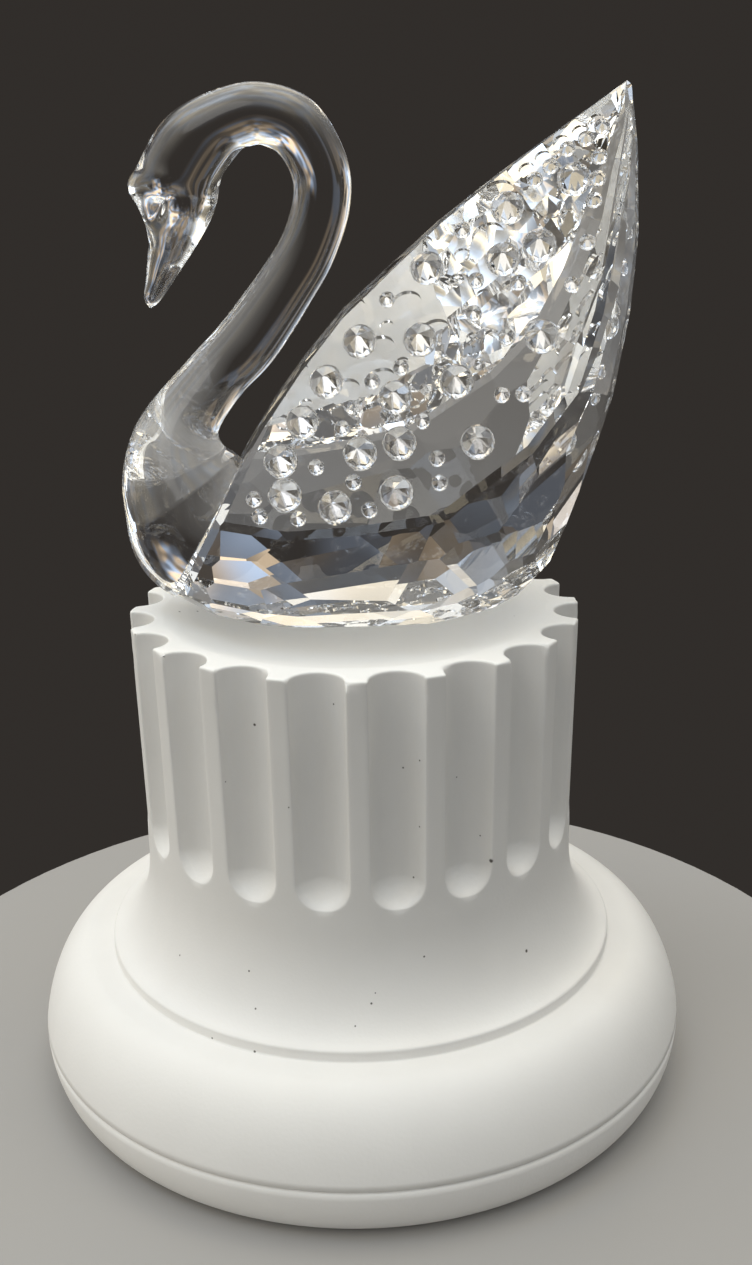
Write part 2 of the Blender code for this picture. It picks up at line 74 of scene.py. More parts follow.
# %% Place the camera
CAMERA_PLACE = Vector((0.0, -0.1394, 0.0948))
CAMERA_TURN = 0.0159
CAMERA_PITCH = math.radians(18.41)
CAMERA_ROLL = math.radians(-0.949)
FOCAL_PIXELS = 1385.0
PICTURE_HEIGHT = 1265.0
NEAREST_SEEN = 0.005


def aim_camera():
    """Three directions: ahead, dipped by the pitch; right, level; and up, then both turned by the roll."""
    ahead = Vector((math.sin(CAMERA_TURN) * math.cos(CAMERA_PITCH),
                    math.cos(CAMERA_TURN) * math.cos(CAMERA_PITCH), -math.sin(CAMERA_PITCH)))
    level = Vector((math.cos(CAMERA_TURN), -math.sin(CAMERA_TURN), 0.0))
    upright = level.cross(ahead)
    right = level * math.cos(CAMERA_ROLL) + upright * math.sin(CAMERA_ROLL)
    up = upright * math.cos(CAMERA_ROLL) - level * math.sin(CAMERA_ROLL)
    return Matrix((right, up, -ahead)).transposed().to_4x4()


lens = bpy.data.cameras.new("camera")
lens.lens = lens.sensor_width * FOCAL_PIXELS / PICTURE_HEIGHT
lens.clip_start = NEAREST_SEEN
camera = bpy.data.objects.new("camera", lens)
camera.matrix_world = Matrix.Translation(CAMERA_PLACE) @ aim_camera()
bpy.context.scene.collection.objects.link(camera)
bpy.context.scene.camera = camera
print("lens in mm:", round(lens.lens, 1))

# %% [markdown]
# ## From arrays to meshes
#
# A surface that is a function of two parameters is an array of points, row by row. One helper turns
# such an array into a closed mesh. Every row here is a closed ring, so the last column joins the
# first, and each end is closed by a fan to one point, so that no hole is left at the pole.

# %% Mesh helpers


def add_piece(name, points, faces, smooth=True):
    """A mesh object from an array of points and lists of point numbers."""
    mesh = bpy.data.meshes.new(name)
    mesh.from_pydata(points.tolist(), [], faces)
    mesh.update()
    if smooth:
        mesh.shade_smooth()
    else:
        mesh.shade_flat()
    piece = bpy.data.objects.new(name, mesh)
    bpy.context.scene.collection.objects.link(piece)
    return piece


def ring_faces(rows, columns, flip=None):
    """Triangles between neighbouring rings; flip marks the cells that are split the other way."""
    row, column = np.meshgrid(np.arange(rows - 1), np.arange(columns), indexing="ij")
    a = row * columns + column
    b = row * columns + (column + 1) % columns
    c, d = b + columns, a + columns
    flip = np.zeros(a.shape, bool) if flip is None else flip
    first = np.where(flip[..., None], np.stack([a, d, b], -1), np.stack([a, d, c], -1))
    second = np.where(flip[..., None], np.stack([b, d, c], -1), np.stack([a, c, b], -1))
    return np.concatenate([first.reshape(-1, 3), second.reshape(-1, 3)])


def closed_rings(name, rings, start, end, flip=None):
    """A closed surface: rings of points, shape (rows, columns, 3), with a fan to a point at each end."""
    rows, columns = rings.shape[:2]
    points = np.vstack([rings.reshape(-1, 3), start, end])
    here = np.arange(columns)
    after = (here + 1) % columns
    below = (rows - 1) * columns
    top = np.stack([np.full(columns, rows * columns), here, after], -1)
    bottom = np.stack([np.full(columns, rows * columns + 1), below + after, below + here], -1)
    faces = np.concatenate([ring_faces(rows, columns, flip), top, bottom])
    piece = add_piece(name, points, faces.tolist())
    print(name, "triangles:", len(faces))
    return piece


def circle(sides, shift=0.5):
    """Points evenly round the unit circle, the first of them a share of a side past +X."""
    angle = 2 * math.pi * (np.arange(sides) + shift) / sides
    return np.column_stack([np.cos(angle), np.sin(angle)])


def facing_out(piece):
    """Turn a closed mesh's faces outwards."""
    bm = bmesh.new()
    bm.from_mesh(piece.data)
    bmesh.ops.recalc_face_normals(bm, faces=bm.faces[:])
    bm.to_mesh(piece.data)
    bm.free()


# %% [markdown]
# ## The pedestal's outline
#
# The stand is one white casting. A lathe would make all of it but the flutes: a curve of radius and
# height is carried round the axis. One function gives the dish's height, and another the line from
# the flare down to the foot, with more points where it bends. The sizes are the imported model's; only
# the seam round the base is cut a little finer.

# %% Profile of the pedestal
COLUMN_TOP_RADIUS = 23.5 * MM
COLUMN_TAPER = 0.4 * MM
FLARE_WIDTH = 4.5 * MM
STEP_WIDTH = 2.2 * MM
SWELL_WIDTH = 6.0 * MM
FOOT_INSET = 3.4 * MM
SWELL_MIDDLE_HEIGHT = 3.2 * MM
SEAM_HEIGHT = 6.4 * MM
SEAM_WIDTH = 0.3 * MM
SEAM_DEPTH = 0.15 * MM
SWELL_TOP_HEIGHT = 14.6 * MM
LEDGE_STEP = 1.2 * MM
FLARE_HEIGHT = 9.5 * MM
COLUMN_FOOT_HEIGHT = 2.85 * MM
FLUTE_COUNT = 20
FLUTE_RADIUS = 2.62 * MM
FLUTE_LENGTH = 23.45 * MM
DISH_LIP = 1.0 * MM
DISH_FLOOR_RADIUS = 9.0 * MM
DISH_DEPTH = 1.8 * MM
LEDGE_ROUNDING = 0.25 * MM
NOOK_ROUNDING = 0.2 * MM
QUARTER_END = 88.0
FLARE_STEPS, SWELL_STEPS, FOOT_STEPS = 14, 22, 12
SHAFT_RADIUS = COLUMN_TOP_RADIUS - COLUMN_TAPER
LEDGE_RADIUS = SHAFT_RADIUS + FLARE_WIDTH
LEDGE_HEIGHT = SWELL_TOP_HEIGHT + LEDGE_STEP
FLARE_TOP_HEIGHT = LEDGE_HEIGHT + FLARE_HEIGHT
FLUTE_FOOT_HEIGHT = FLARE_TOP_HEIGHT + COLUMN_FOOT_HEIGHT
PEDESTAL_HEIGHT = FLUTE_FOOT_HEIGHT + FLUTE_LENGTH
DISH_RADIUS = COLUMN_TOP_RADIUS - FLUTE_RADIUS - DISH_LIP


def dish_height(radius):
    """Height of the dish: level on its floor, then rising with the square of the way to its rim."""
    rise = np.clip((radius - DISH_FLOOR_RADIUS) / (DISH_RADIUS - DISH_FLOOR_RADIUS), 0.0, 1.0)
    return PEDESTAL_HEIGHT - DISH_DEPTH * (1.0 - rise ** 2)


def corner_curve(before, corner, after, reach, steps=4):
    """A rounded corner: a parabola from a point short of the corner to one past it."""
    before, corner, after = (np.array(point) for point in (before, corner, after))
    start = corner + (before - corner) * reach / np.linalg.norm(before - corner)
    end = corner + (after - corner) * reach / np.linalg.norm(after - corner)
    t = np.linspace(0.0, 1.0, steps + 1)[:, None]
    return (1 - t) ** 2 * start + 2 * t * (1 - t) * corner + t ** 2 * end


def quarter(middle, width, height, start, end, steps):
    """Part of an ellipse: middle plus width times the cosine and height times the sine of an angle."""
    angle = np.radians(np.linspace(start, end, steps + 1))
    return np.column_stack([middle[0] + width * np.cos(angle), middle[1] + height * np.sin(angle)])


def lower_profile():
    """Radius and height from the top of the flare down to the edge of the underside."""
    flare = quarter((LEDGE_RADIUS, FLARE_TOP_HEIGHT), -FLARE_WIDTH, -FLARE_HEIGHT,
                    0.0, QUARTER_END, FLARE_STEPS)
    ledge = (LEDGE_RADIUS, LEDGE_HEIGHT)
    nook = (LEDGE_RADIUS, SWELL_TOP_HEIGHT)
    swell_middle = LEDGE_RADIUS + STEP_WIDTH
    swell_rise = SWELL_TOP_HEIGHT - SWELL_MIDDLE_HEIGHT
    brow = (swell_middle, SWELL_TOP_HEIGHT)
    seam = math.degrees(math.asin((SEAM_HEIGHT - SWELL_MIDDLE_HEIGHT) / swell_rise))
    swell = quarter((swell_middle, SWELL_MIDDLE_HEIGHT), SWELL_WIDTH, swell_rise,
                    QUARTER_END, seam, SWELL_STEPS)
    edge = swell[-1]
    groove = np.array([[edge[0] - SEAM_DEPTH, SEAM_HEIGHT - 0.3 * SEAM_WIDTH],
                       [edge[0] - SEAM_DEPTH, SEAM_HEIGHT - 0.7 * SEAM_WIDTH]])
    band = SEAM_HEIGHT - SEAM_WIDTH
    foot = quarter((edge[0] - FOOT_INSET, band), FOOT_INSET, -band, 0.0, QUARTER_END, FOOT_STEPS)
    return np.vstack([flare[:-1], corner_curve(flare[-2], ledge, nook, LEDGE_ROUNDING),
                      corner_curve(ledge, nook, brow, NOOK_ROUNDING), swell, groove, foot])


outline = lower_profile()
print("base radius in mm:", round(outline[:, 0].max() / MM, 2), "rows:", len(outline))

# %% [markdown]
# ## Flutes
#
# Twenty round grooves run down the column and end in round scoops. They are cut like a ball-nosed
# cutter cuts them: a rod with a round end, its axis on the column's surface. A Boolean modifier could
# cut them, but it leaves hard edges and long thin faces. Here the grid's own columns are laid along
# the mouth of every flute and its rows along the mouth of the scoop, so that each arris is a line of
# the grid. Then all points are moved onto a field whose zero is the finished surface, and that field
# rounds the arrises, a little more where the casting is chipped.

# %% Grid over the column
FLUTE_TURN = 2 * math.pi / FLUTE_COUNT
SCOOP_MIDDLE = FLUTE_FOOT_HEIGHT + FLUTE_RADIUS
# Angles across half a flute, and shares of the way across a land, closest together at the arrises
ACROSS = np.radians([0.0, 2.2, 4.4, 10.0, 20.0, 30.0, 40.0, 50.0, 60.0, 70.0, 80.0, 85.6, 87.8, 90.0])
LAND_SHARES = np.array([0.045, 0.1, 0.25, 0.75, 0.9, 0.955])
EDGE_STEPS = np.array([0.1, 0.2, 0.4]) * MM
STRAIGHT_ROWS = 25
ROWS_BELOW = 3
TINY = 1e-9
CLOSED = 1e-6


def column_radius(height):
    """The column's radius: it widens evenly from the flutes' feet to the top."""
    share = np.clip((height - FLUTE_FOOT_HEIGHT) / FLUTE_LENGTH, 0.0, 1.0)
    return SHAFT_RADIUS + COLUMN_TAPER * share


def mouth_angle(height):
    """Half the angle that a flute's mouth takes up at that height, by the law of cosines."""
    drop = np.maximum(0.0, SCOOP_MIDDLE - height)
    reach = np.maximum(0.0, FLUTE_RADIUS ** 2 - drop ** 2)
    radius = column_radius(height)
    cosine = (COLUMN_TOP_RADIUS ** 2 + radius ** 2 - reach) / (2 * COLUMN_TOP_RADIUS * radius)
    return np.arccos(np.clip(cosine, -1.0, 1.0))


def flute_wall(height, angle):
    """Distance from the axis to the flute's wall, or to the column where there is no flute."""
    drop = np.maximum(0.0, SCOOP_MIDDLE - height)
    reach = FLUTE_RADIUS ** 2 - drop ** 2 - (COLUMN_TOP_RADIUS * np.sin(angle)) ** 2
    wall = COLUMN_TOP_RADIUS * np.cos(angle) - np.sqrt(np.maximum(0.0, reach))
    return np.where(reach > 0.0, np.minimum(wall, column_radius(height)), column_radius(height))


def column_rows():
    """Heights of the rows, and how far each has come round the scoop, from 0 above it to 90 degrees."""
    steps = PEDESTAL_HEIGHT - np.concatenate([[0.0], EDGE_STEPS])
    straight = np.linspace(steps[-1], SCOOP_MIDDLE, STRAIGHT_ROWS + 1)[1:]
    scoop_drop = math.sqrt(FLUTE_RADIUS ** 2 - COLUMN_TAPER ** 2)
    scoop = SCOOP_MIDDLE - scoop_drop * np.sin(ACROSS[1:])
    below = np.linspace(scoop[-1], FLARE_TOP_HEIGHT, ROWS_BELOW + 2)[1:-1]
    heights = np.concatenate([steps, straight, scoop, below])
    turned = np.concatenate([np.zeros(len(steps) + len(straight)), ACROSS[1:],
                             np.full(len(below), math.pi / 2)])
    return heights, turned


def half_flute(turned, mouth, full_mouth):
    """Angles from the flute's middle to its mouth, so that the scoop's edge falls on grid corners.

    Inside the edge they grow with the sine of the way across; outside they share out the rest.
    """
    sine, cosine = np.sin(ACROSS)[None, :], np.cos(turned)[:, None]
    mouth = mouth[:, None]
    inside = mouth * sine / np.maximum(cosine, TINY)
    outside = mouth + (full_mouth - mouth) * (sine - cosine) / np.maximum(1 - cosine, TINY)
    return np.where((sine <= cosine + TINY) & (cosine > CLOSED), inside, outside)


heights, turned = column_rows()
mouths = np.where(turned > math.pi / 2 - CLOSED, 0.0, mouth_angle(heights))
full_mouths = mouth_angle(np.maximum(heights, SCOOP_MIDDLE))[:, None]
right_half = half_flute(turned, mouths, full_mouths)
land = full_mouths + (FLUTE_TURN - 2 * full_mouths) * LAND_SHARES
one_flute = np.hstack([-right_half[:, :0:-1], right_half, land])
is_land = np.concatenate([np.zeros(2 * len(ACROSS) - 1, bool), np.ones(len(LAND_SHARES), bool)])
print("columns a flute:", one_flute.shape[1], "rows down the column:", len(heights))

# %% [markdown]
# ## The finished surface as a field
#
# A signed field is below zero in the casting and above zero in the air. The column, its top and the
# flutes each have a simple one, and the greatest of the three is their common surface. A smooth
# maximum takes a little off where two of them are close, and that is exactly a rounded arris.

# %% Round the arrises
ARRIS = 0.26 * MM
CHIP_COUNT = 70
CHIP_SEED = 11
CHIPS_ON_RIM = 0.6
CHIP_SLIP = 0.02
CHIP_SIZES = np.array([0.15, 0.45]) * MM
CHIP_GROWTH = 2.2
LEAST_STEEPNESS = 0.25
# Chips that the photograph shows on the rim: x, y, z and size, in mm
SEEN_CHIPS = [(-8.4, -19.6, 51.5, 0.6), (-9.3, -19.3, 51.6, 0.4), (8.3, -19.8, 51.5, 0.65),
              (7.3, -20.6, 51.5, 0.4), (-14.0, -17.7, 51.6, 0.45), (-12.0, -20.2, 51.6, 0.4)]
random = np.random.default_rng(CHIP_SEED)


def flute_middle(flute):
    """Direction of a flute's middle; none of them faces the front exactly, a land does."""
    return -math.pi / 2 + FLUTE_TURN * (flute + 0.5)


def place_chips():
    """Places and sizes of chips, mostly on the upper ends of the lands between the flutes."""
    flute = random.integers(0, FLUTE_COUNT, CHIP_COUNT)
    side = random.choice([-1.0, 1.0], CHIP_COUNT)
    angle = flute_middle(flute) + side * mouth_angle(np.array(PEDESTAL_HEIGHT))
    on_rim = random.random(CHIP_COUNT) < CHIPS_ON_RIM
    fall = np.where(on_rim, 0.0, random.random(CHIP_COUNT) ** 2 * FLUTE_LENGTH)
    slip = np.where(fall == 0.0, random.normal(0.0, CHIP_SLIP, CHIP_COUNT), 0.0)
    radius = COLUMN_TOP_RADIUS
    places = np.column_stack([radius * np.cos(angle + slip), radius * np.sin(angle + slip),
                              PEDESTAL_HEIGHT - fall])
    seen = np.array(SEEN_CHIPS) * MM
    sizes = random.uniform(*CHIP_SIZES, CHIP_COUNT)
    return np.vstack([places, seen[:, :3]]), np.append(sizes, seen[:, 3])


def smooth_max(first, second, reach):
    """The greater of two fields, plus a quarter of reach where they are equal, fading out at reach."""
    near = np.maximum(reach - np.abs(first - second), 0.0) / reach
    return np.maximum(first, second) + near ** 2 * reach / 4


chip_places, chip_sizes = place_chips()


def casting_field(points):
    """Signed field of the column with its dished top and its flutes."""
    radius = np.hypot(points[:, 0], points[:, 1])
    angle = np.arctan2(points[:, 1], points[:, 0])
    flute = np.round((angle - flute_middle(0)) / FLUTE_TURN)
    middle = flute_middle(flute)
    sideways = np.hypot(points[:, 0] - COLUMN_TOP_RADIUS * np.cos(middle),
                        points[:, 1] - COLUMN_TOP_RADIUS * np.sin(middle))
    rod = FLUTE_RADIUS - np.hypot(sideways, np.minimum(points[:, 2] - SCOOP_MIDDLE, 0.0))
    far = np.linalg.norm(points[:, None, :] - chip_places[None], axis=2)
    chipped = np.exp(-(far / chip_sizes) ** 2).max(axis=1)
    reach = ARRIS * (1.0 + CHIP_GROWTH * chipped)
    side = radius - column_radius(points[:, 2])
    top = points[:, 2] - dish_height(radius)
    return smooth_max(smooth_max(side, rod, reach), top, reach)


def onto_field(points, field, rounds=6, step=1e-7):
    """Move points along the field's slope, a few times over, until the field is zero there."""
    for _ in range(rounds):
        value = field(points)
        slope = np.stack([field(points + step * axis) - value for axis in np.eye(3)], axis=1) / step
        steep = np.maximum((slope ** 2).sum(axis=1), LEAST_STEEPNESS)
        points = points - slope * (value / steep)[:, None]
    return points


# %% [markdown]
# ## From the middle of the dish to the foot
#
# Now the rings can be stacked: the dish, the lip round it, the flutes from the top down, and the
# turned profile below them. Only the rings near a flute or an edge are moved onto the field. The
# others already lie on the finished surface, because they follow the lathe's curve exactly. Down a
# flute's wall each small square is split along the other diagonal on one side, so that both halves
# of a flute mirror each other and shade alike.

# %% Build the pedestal
DISH_ROWS = 14
LIP_ROWS = 5
UNDERSIDE_SHARE = 0.97


def make_pedestal():
    """Rings from the dish's middle outwards, down the flutes, and down the lower profile."""
    flutes = np.arange(FLUTE_COUNT)
    angles = (one_flute[:, None, :] + flute_middle(flutes)[None, :, None])
    wall = np.where(is_land, column_radius(heights)[:, None], flute_wall(heights[:, None], one_flute))
    wall = np.broadcast_to(wall[:, None, :], angles.shape)
    angles, wall = angles.reshape(len(heights), -1), wall.reshape(len(heights), -1)
    side = np.stack([wall * np.cos(angles), wall * np.sin(angles),
                     np.broadcast_to(heights[:, None], wall.shape)], -1)
    inner = np.linspace(DISH_RADIUS / DISH_ROWS, DISH_RADIUS, DISH_ROWS)
    lip_share = np.linspace(0.0, 1.0, LIP_ROWS + 1)[1:-1]
    near_edge = wall[0] - EDGE_STEPS[::-1, None]
    lip = DISH_RADIUS + lip_share[:, None] * (near_edge[0] - DISH_RADIUS)
    flat = np.vstack([np.broadcast_to(inner[:, None], (DISH_ROWS, wall.shape[1])), lip, near_edge])
    top = np.stack([flat * np.cos(angles[0]), flat * np.sin(angles[0]), dish_height(flat)], -1)
    edge_and_side = np.concatenate([top[DISH_ROWS:], side])
    carved = onto_field(edge_and_side.reshape(-1, 3), casting_field).reshape(edge_and_side.shape)
    around = np.stack([np.cos(angles[-1]), np.sin(angles[-1])], -1)
    lower = np.concatenate([outline[:, None, :1] * around, np.broadcast_to(
        outline[:, None, 1:], (len(outline), wall.shape[1], 1))], -1)
    under = lower[-1:] * np.array([UNDERSIDE_SHARE, UNDERSIDE_SHARE, 0.0])
    rings = np.concatenate([top[:DISH_ROWS], carved, lower, under])
    first_side = len(top)
    flip = np.zeros((len(rings) - 1, wall.shape[1]), bool)
    towards = np.concatenate([np.zeros(len(ACROSS) - 1, bool), np.ones(len(ACROSS) - 1, bool),
                              np.zeros(len(LAND_SHARES) + 1, bool)])
    flip[first_side:first_side + len(heights)] = np.tile(towards, FLUTE_COUNT)
    dish_middle = [0.0, 0.0, float(dish_height(0.0))]
    return closed_rings("fluted_pedestal", rings, dish_middle, [0.0, 0.0, 0.0], flip)


pedestal = make_pedestal()
facing_out(pedestal)
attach(pedestal, "root")
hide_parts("pedestal")

# %% [markdown]
# ## The swan's own frame
#
# Everything on the swan is given in percent of its height, from the keel up, as measured in the side
# view. One function turns such a pair into metres in the frame. The wings are two flat planes that
# lean outwards and run together at the tail, so a place on a wing needs only its side view.

# %% Swan coordinates
SWAN_HEIGHT = 52.6 * MM
WING_LEAN = math.radians(26.0)
WING_TAPER = math.radians(11.0)
REST_GAP = 0.3 * MM
GLUE_THICKNESS = 0.04 * MM
GLUE_POCKET = 0.02 * MM
JOINT_TOP = (-21.2, 32.6)
JOINT_FOOT = (-35.3, 5.6)
CREST_CORNERS = [JOINT_TOP, (-15.7, 41.3), (-8.9, 50.6), (-1.1, 59.8), (7.3, 67.3), (16.9, 75.8),
                 (28.0, 84.2), (38.9, 91.7), (51.4, 100.2)]
KEEL_HEIGHT = float(dish_height(0.0)) + REST_GAP


def in_metres(percent):
    """Points (x, z, y) in percent of the swan's height become points (x, y, z) in metres."""
    percent = np.asarray(percent, float)
    return np.stack([SWAN_HEIGHT * percent[..., 0] / 100, SWAN_HEIGHT * percent[..., 2] / 100,
                     KEEL_HEIGHT + SWAN_HEIGHT * percent[..., 1] / 100], -1)


def swan_point(x_percent, z_percent):
    """One point of the plane of symmetry, as a vector."""
    return Vector(in_metres([x_percent, z_percent, 0.0]))


def wing_normal(side):
    """Outward normal of a wing: side -1 is the left wing, +1 the right."""
    return Vector((-math.sin(WING_TAPER) * math.cos(WING_LEAN),
                   side * math.cos(WING_TAPER) * math.cos(WING_LEAN), math.sin(WING_LEAN)))


def on_wing(x_percent, z_percent, side):
    """The point of a wing's plane that the side view shows at that place."""
    tip = swan_point(*CREST_CORNERS[-1])
    point = swan_point(x_percent, z_percent)
    normal = wing_normal(side)
    point.y = -((point - tip).dot(normal)) / normal.y
    return point


def smooth_rows(rows, steps):
    """A smooth curve through the rows: a cubic between each two, with slopes from their neighbours."""
    rows = np.asarray(rows, float)
    before = np.vstack([2 * rows[0] - rows[1], rows[:-2], rows[-2]])[:len(rows) - 1]
    after = np.vstack([rows[2:], 2 * rows[-1] - rows[-2]])
    start, end = rows[:-1], rows[1:]
    t = (np.arange(steps) / steps)[:, None, None]
    curve = 0.5 * (2 * start + (end - before) * t + (2 * before - 5 * start + 4 * end - after) * t ** 2
                   + (3 * start - before - 3 * end + after) * t ** 3)
    return np.vstack([curve.transpose(1, 0, 2).reshape(-1, rows.shape[1]), rows[-1:]])


def joint_plane():
    """Middle and outward normal of the flat face that the breast is glued to."""
    top, foot = swan_point(*JOINT_TOP), swan_point(*JOINT_FOOT)
    along = (top - foot).normalized()
    return (top + foot) / 2, Vector((-along.z, 0.0, along.x))


print("keel height in mm:", round(KEEL_HEIGHT / MM, 2))
print("wing normal:", [round(part, 3) for part in wing_normal(-1)])

# %% [markdown]
# ## Neck, head and breast
#
# The real neck is one bent rod of crystal, drawn out thin to the beak and swelling into the breast.
# A curve with a bevel could give the rod, but not the beak or the carved head. Here each ring is an
# ellipse across the neck, between an outer and an inner point of the side view, and bell curves
# narrow or push out the rings at the head: the hollow before the eye, the knob on the brow, the slit
# of the mouth, and the crease under the throat.

# %% Rings of the neck
NECK_STATIONS = [
    (-37.1, 61.6, -36.7, 61.5, 0.3),
    (-37.9, 63.6, -35.0, 62.7, 1.3),
    (-37.2, 67.3, -32.1, 66.5, 2.1),
    (-36.5, 74.4, -26.5, 74.2, 3.7),
    (-37.6, 79.5, -23.6, 79.6, 5.0),
    (-38.0, 85.0, -22.4, 84.3, 5.7),
    (-33.0, 93.6, -18.7, 89.0, 5.8),
    (-25.4, 98.4, -16.7, 89.7, 5.6),
    (-15.5, 100.5, -14.9, 89.8, 5.4),
    (-5.6, 97.3, -11.9, 88.2, 5.4),
    (0.2, 88.0, -9.7, 84.1, 5.3),
    (0.8, 79.2, -9.8, 79.7, 5.3),
    (-2.4, 69.7, -12.0, 74.0, 5.3),
    (-6.7, 62.4, -15.8, 68.3, 5.4),
    (-14.2, 51.6, -23.6, 58.8, 5.9),
    (-20.5, 45.3, -30.0, 52.3, 6.4),
    (-25.2, 38.6, -40.3, 41.0, 8.6),
    (-24.6, 35.2, -44.2, 30.2, 11.4),
    (-22.4, 33.6, -43.9, 19.4, 13.4),
]
NECK_END_HALF_WIDTH = 13.6
NECK_SIDES = 80
NECK_ROWS_PER_STATION = 9
NECK_SHARP_ANGLE = math.radians(50)
BREAST_ROWS = 30
BREAST_SWELL = 0.04
# Carving of the head: centre x, centre z, spread, and depth as a share of the half width there
HEAD_HOLLOWS = [(-33.3, 80.2, 1.5, 0.24), (-34.6, 77.6, 1.4, 0.22), (-33.0, 83.6, 1.2, -0.09),
                (-30.4, 79.4, 1.1, -0.07), (-29.0, 78.0, 2.0, -0.06), (-36.2, 72.5, 1.6, 0.10),
                (-24.4, 80.9, 0.8, 0.30)]
BROW_KNOB = (-38.2, 82.9, 2.1, 1.3)
# The slit of the mouth: its two ends, half its breadth, and its depth as a share of the half width
MOUTH_START, MOUTH_END = (-36.6, 63.4), (-32.9, 69.6)
MOUTH_BREADTH, MOUTH_DEPTH = 0.28, 0.18


def breast_rings():
    """Rings that turn about the nape into the joint's plane: their angle and length change evenly."""
    normal = joint_plane()[1]
    slip = 100 * (GLUE_THICKNESS - GLUE_POCKET) / SWAN_HEIGHT
    last = np.array(NECK_STATIONS[-1])
    end = np.array([JOINT_TOP[0] + normal.x * slip, JOINT_TOP[1] + normal.z * slip,
                    JOINT_FOOT[0] + normal.x * slip, JOINT_FOOT[1] + normal.z * slip, NECK_END_HALF_WIDTH])
    turn_start = math.atan2(last[3] - last[1], last[2] - last[0])
    turn_end = math.atan2(end[3] - end[1], end[2] - end[0]) % (2 * math.pi)
    turn_start = turn_start % (2 * math.pi)
    length_start = math.hypot(last[2] - last[0], last[3] - last[1])
    length_end = math.hypot(end[2] - end[0], end[3] - end[1])
    share = np.arange(1, BREAST_ROWS + 1) / BREAST_ROWS
    outer = last[:2] + (end[:2] - last[:2]) * share[:, None]
    turn = turn_start + (turn_end - turn_start) * share
    swell = 1 + BREAST_SWELL * np.sin(math.pi * share)
    length = (length_start + (length_end - length_start) * share) * swell
    inner = outer + length[:, None] * np.column_stack([np.cos(turn), np.sin(turn)])
    return np.column_stack([outer, inner, last[4] + (end[4] - last[4]) * share])


def nearness(x, z, place, spread):
    """A bell curve: 1 at that place of the side view, and about 0 two or three spreads away."""
    return np.exp(-((x - place[0]) ** 2 + (z - place[1]) ** 2) / (2 * spread ** 2))


def on_the_mouth(x, z):
    """A bell curve across the mouth's slit: 1 on the line between its ends."""
    start, end = np.array(MOUTH_START), np.array(MOUTH_END)
    along = end - start
    share = np.clip(((x - start[0]) * along[0] + (z - start[1]) * along[1]) / (along @ along), 0.0, 1.0)
    away = np.hypot(x - start[0] - share * along[0], z - start[1] - share * along[1])
    return np.exp(-(away / MOUTH_BREADTH) ** 2)


def neck_surface():
    """Every ring at once: the side view runs with the cosine of the angle, the width with its sine."""
    stations = np.vstack([smooth_rows(NECK_STATIONS, NECK_ROWS_PER_STATION), breast_rings()])
    outer_x, outer_z, inner_x, inner_z, half_width = stations.T[:, :, None]
    angle = 2 * math.pi * np.arange(NECK_SIDES) / NECK_SIDES
    across = 0.5 * (1 + np.cos(angle))
    x = inner_x + (outer_x - inner_x) * across
    z = inner_z + (outer_z - inner_z) * across
    width = half_width * np.sin(angle)
    carved = np.ones_like(x)
    for place_x, place_z, spread, depth in HEAD_HOLLOWS:
        carved *= 1 - depth * nearness(x, z, (place_x, place_z), spread)
    carved *= 1 - MOUTH_DEPTH * on_the_mouth(x, z)
    knob = nearness(x, z, BROW_KNOB, BROW_KNOB[2])
    x = x - BROW_KNOB[3] * knob * np.maximum(0.0, np.cos(angle))
    return in_metres(np.stack([x, z, width * carved], -1))


neck_rings = neck_surface()
neck = closed_rings("neck_and_breast_glass", neck_rings,
                    neck_rings[0].mean(axis=0), neck_rings[-1].mean(axis=0))
facing_out(neck)
neck.data.set_sharp_from_angle(angle=NECK_SHARP_ANGLE)
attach(neck, "root")
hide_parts("neck_and_breast")

# %% [markdown]
# ## The faceted body
#
# A cutter grinds a crystal body against a flat wheel, one facet at a time, and every facet is a
# plane. No smooth grid gives that, so this piece is made as the cutter makes it: a block is cut by
# each plane, and each cut is closed by one flat face. The planes come from a smooth hull that is
# never built: each one touches it from outside.

# %% The hull that the facets touch
KEEL_POINTS = [(-36.7, 6.7), (-25.0, 2.1), (-11.9, 0.15), (3.0, 0.0), (17.1, 0.6), (29.0, 4.0),
               (36.8, 10.3), (41.5, 20.2), (45.9, 33.3), (49.3, 45.8), (51.9, 59.6), (53.2, 73.4),
               (52.8, 87.5), (51.4, 100.0)]
# Distance from each keel point up to the wing's lower edge, percent of the swan's height
HULL_DEPTHS = [20.0, 22.4, 24.2, 26.2, 29.2, 31.5, 30.8, 26.0, 17.0, 11.2, 8.4, 6.4, 3.0, 0.6]
KEEL_CORNER = 7
BOTTOM_COLUMNS = 9
REAR_COLUMNS = 6
HULL_ROW_ANGLES = [math.radians(angle) for angle in (11.0, 34.0, 56.5, 79.0)]
FRONT_ROW_ANGLES = [math.radians(angle) for angle in (7.0, 22.0, 38.0, 57.0, 79.0)]
STAGGER = math.radians(1.5)
EDGE_RISE = 0.35
KEEL_ANGLE = math.radians(90.0)
EDGE_CHAMFER = 0.45 * MM
JOINT_CHAMFER = 0.8 * MM
JOINT_CHAMFER_ROWS = 3
# The first columns, next to the breast, are cut to a sharper taper: degrees that each is turned forwards
FRONT_TURNS = [13.0, 6.0]
SLOPE = 0.1
ANGLE_SLOPE = 0.05
HULL_STEPS = 20
CLOUD_STATIONS, CLOUD_ANGLES = 60, 13
MIRROR = Vector((1.0, -1.0, 1.0))
fine_hull = smooth_rows(np.column_stack([KEEL_POINTS, HULL_DEPTHS]), HULL_STEPS)
fine_places = np.linspace(0.0, len(KEEL_POINTS) - 1, len(fine_hull))


def hull_row(station):
    """Keel x, keel z and hull depth at a station that may lie between two keel points."""
    return [float(np.interp(station, fine_places, fine_hull[:, column])) for column in range(3)]


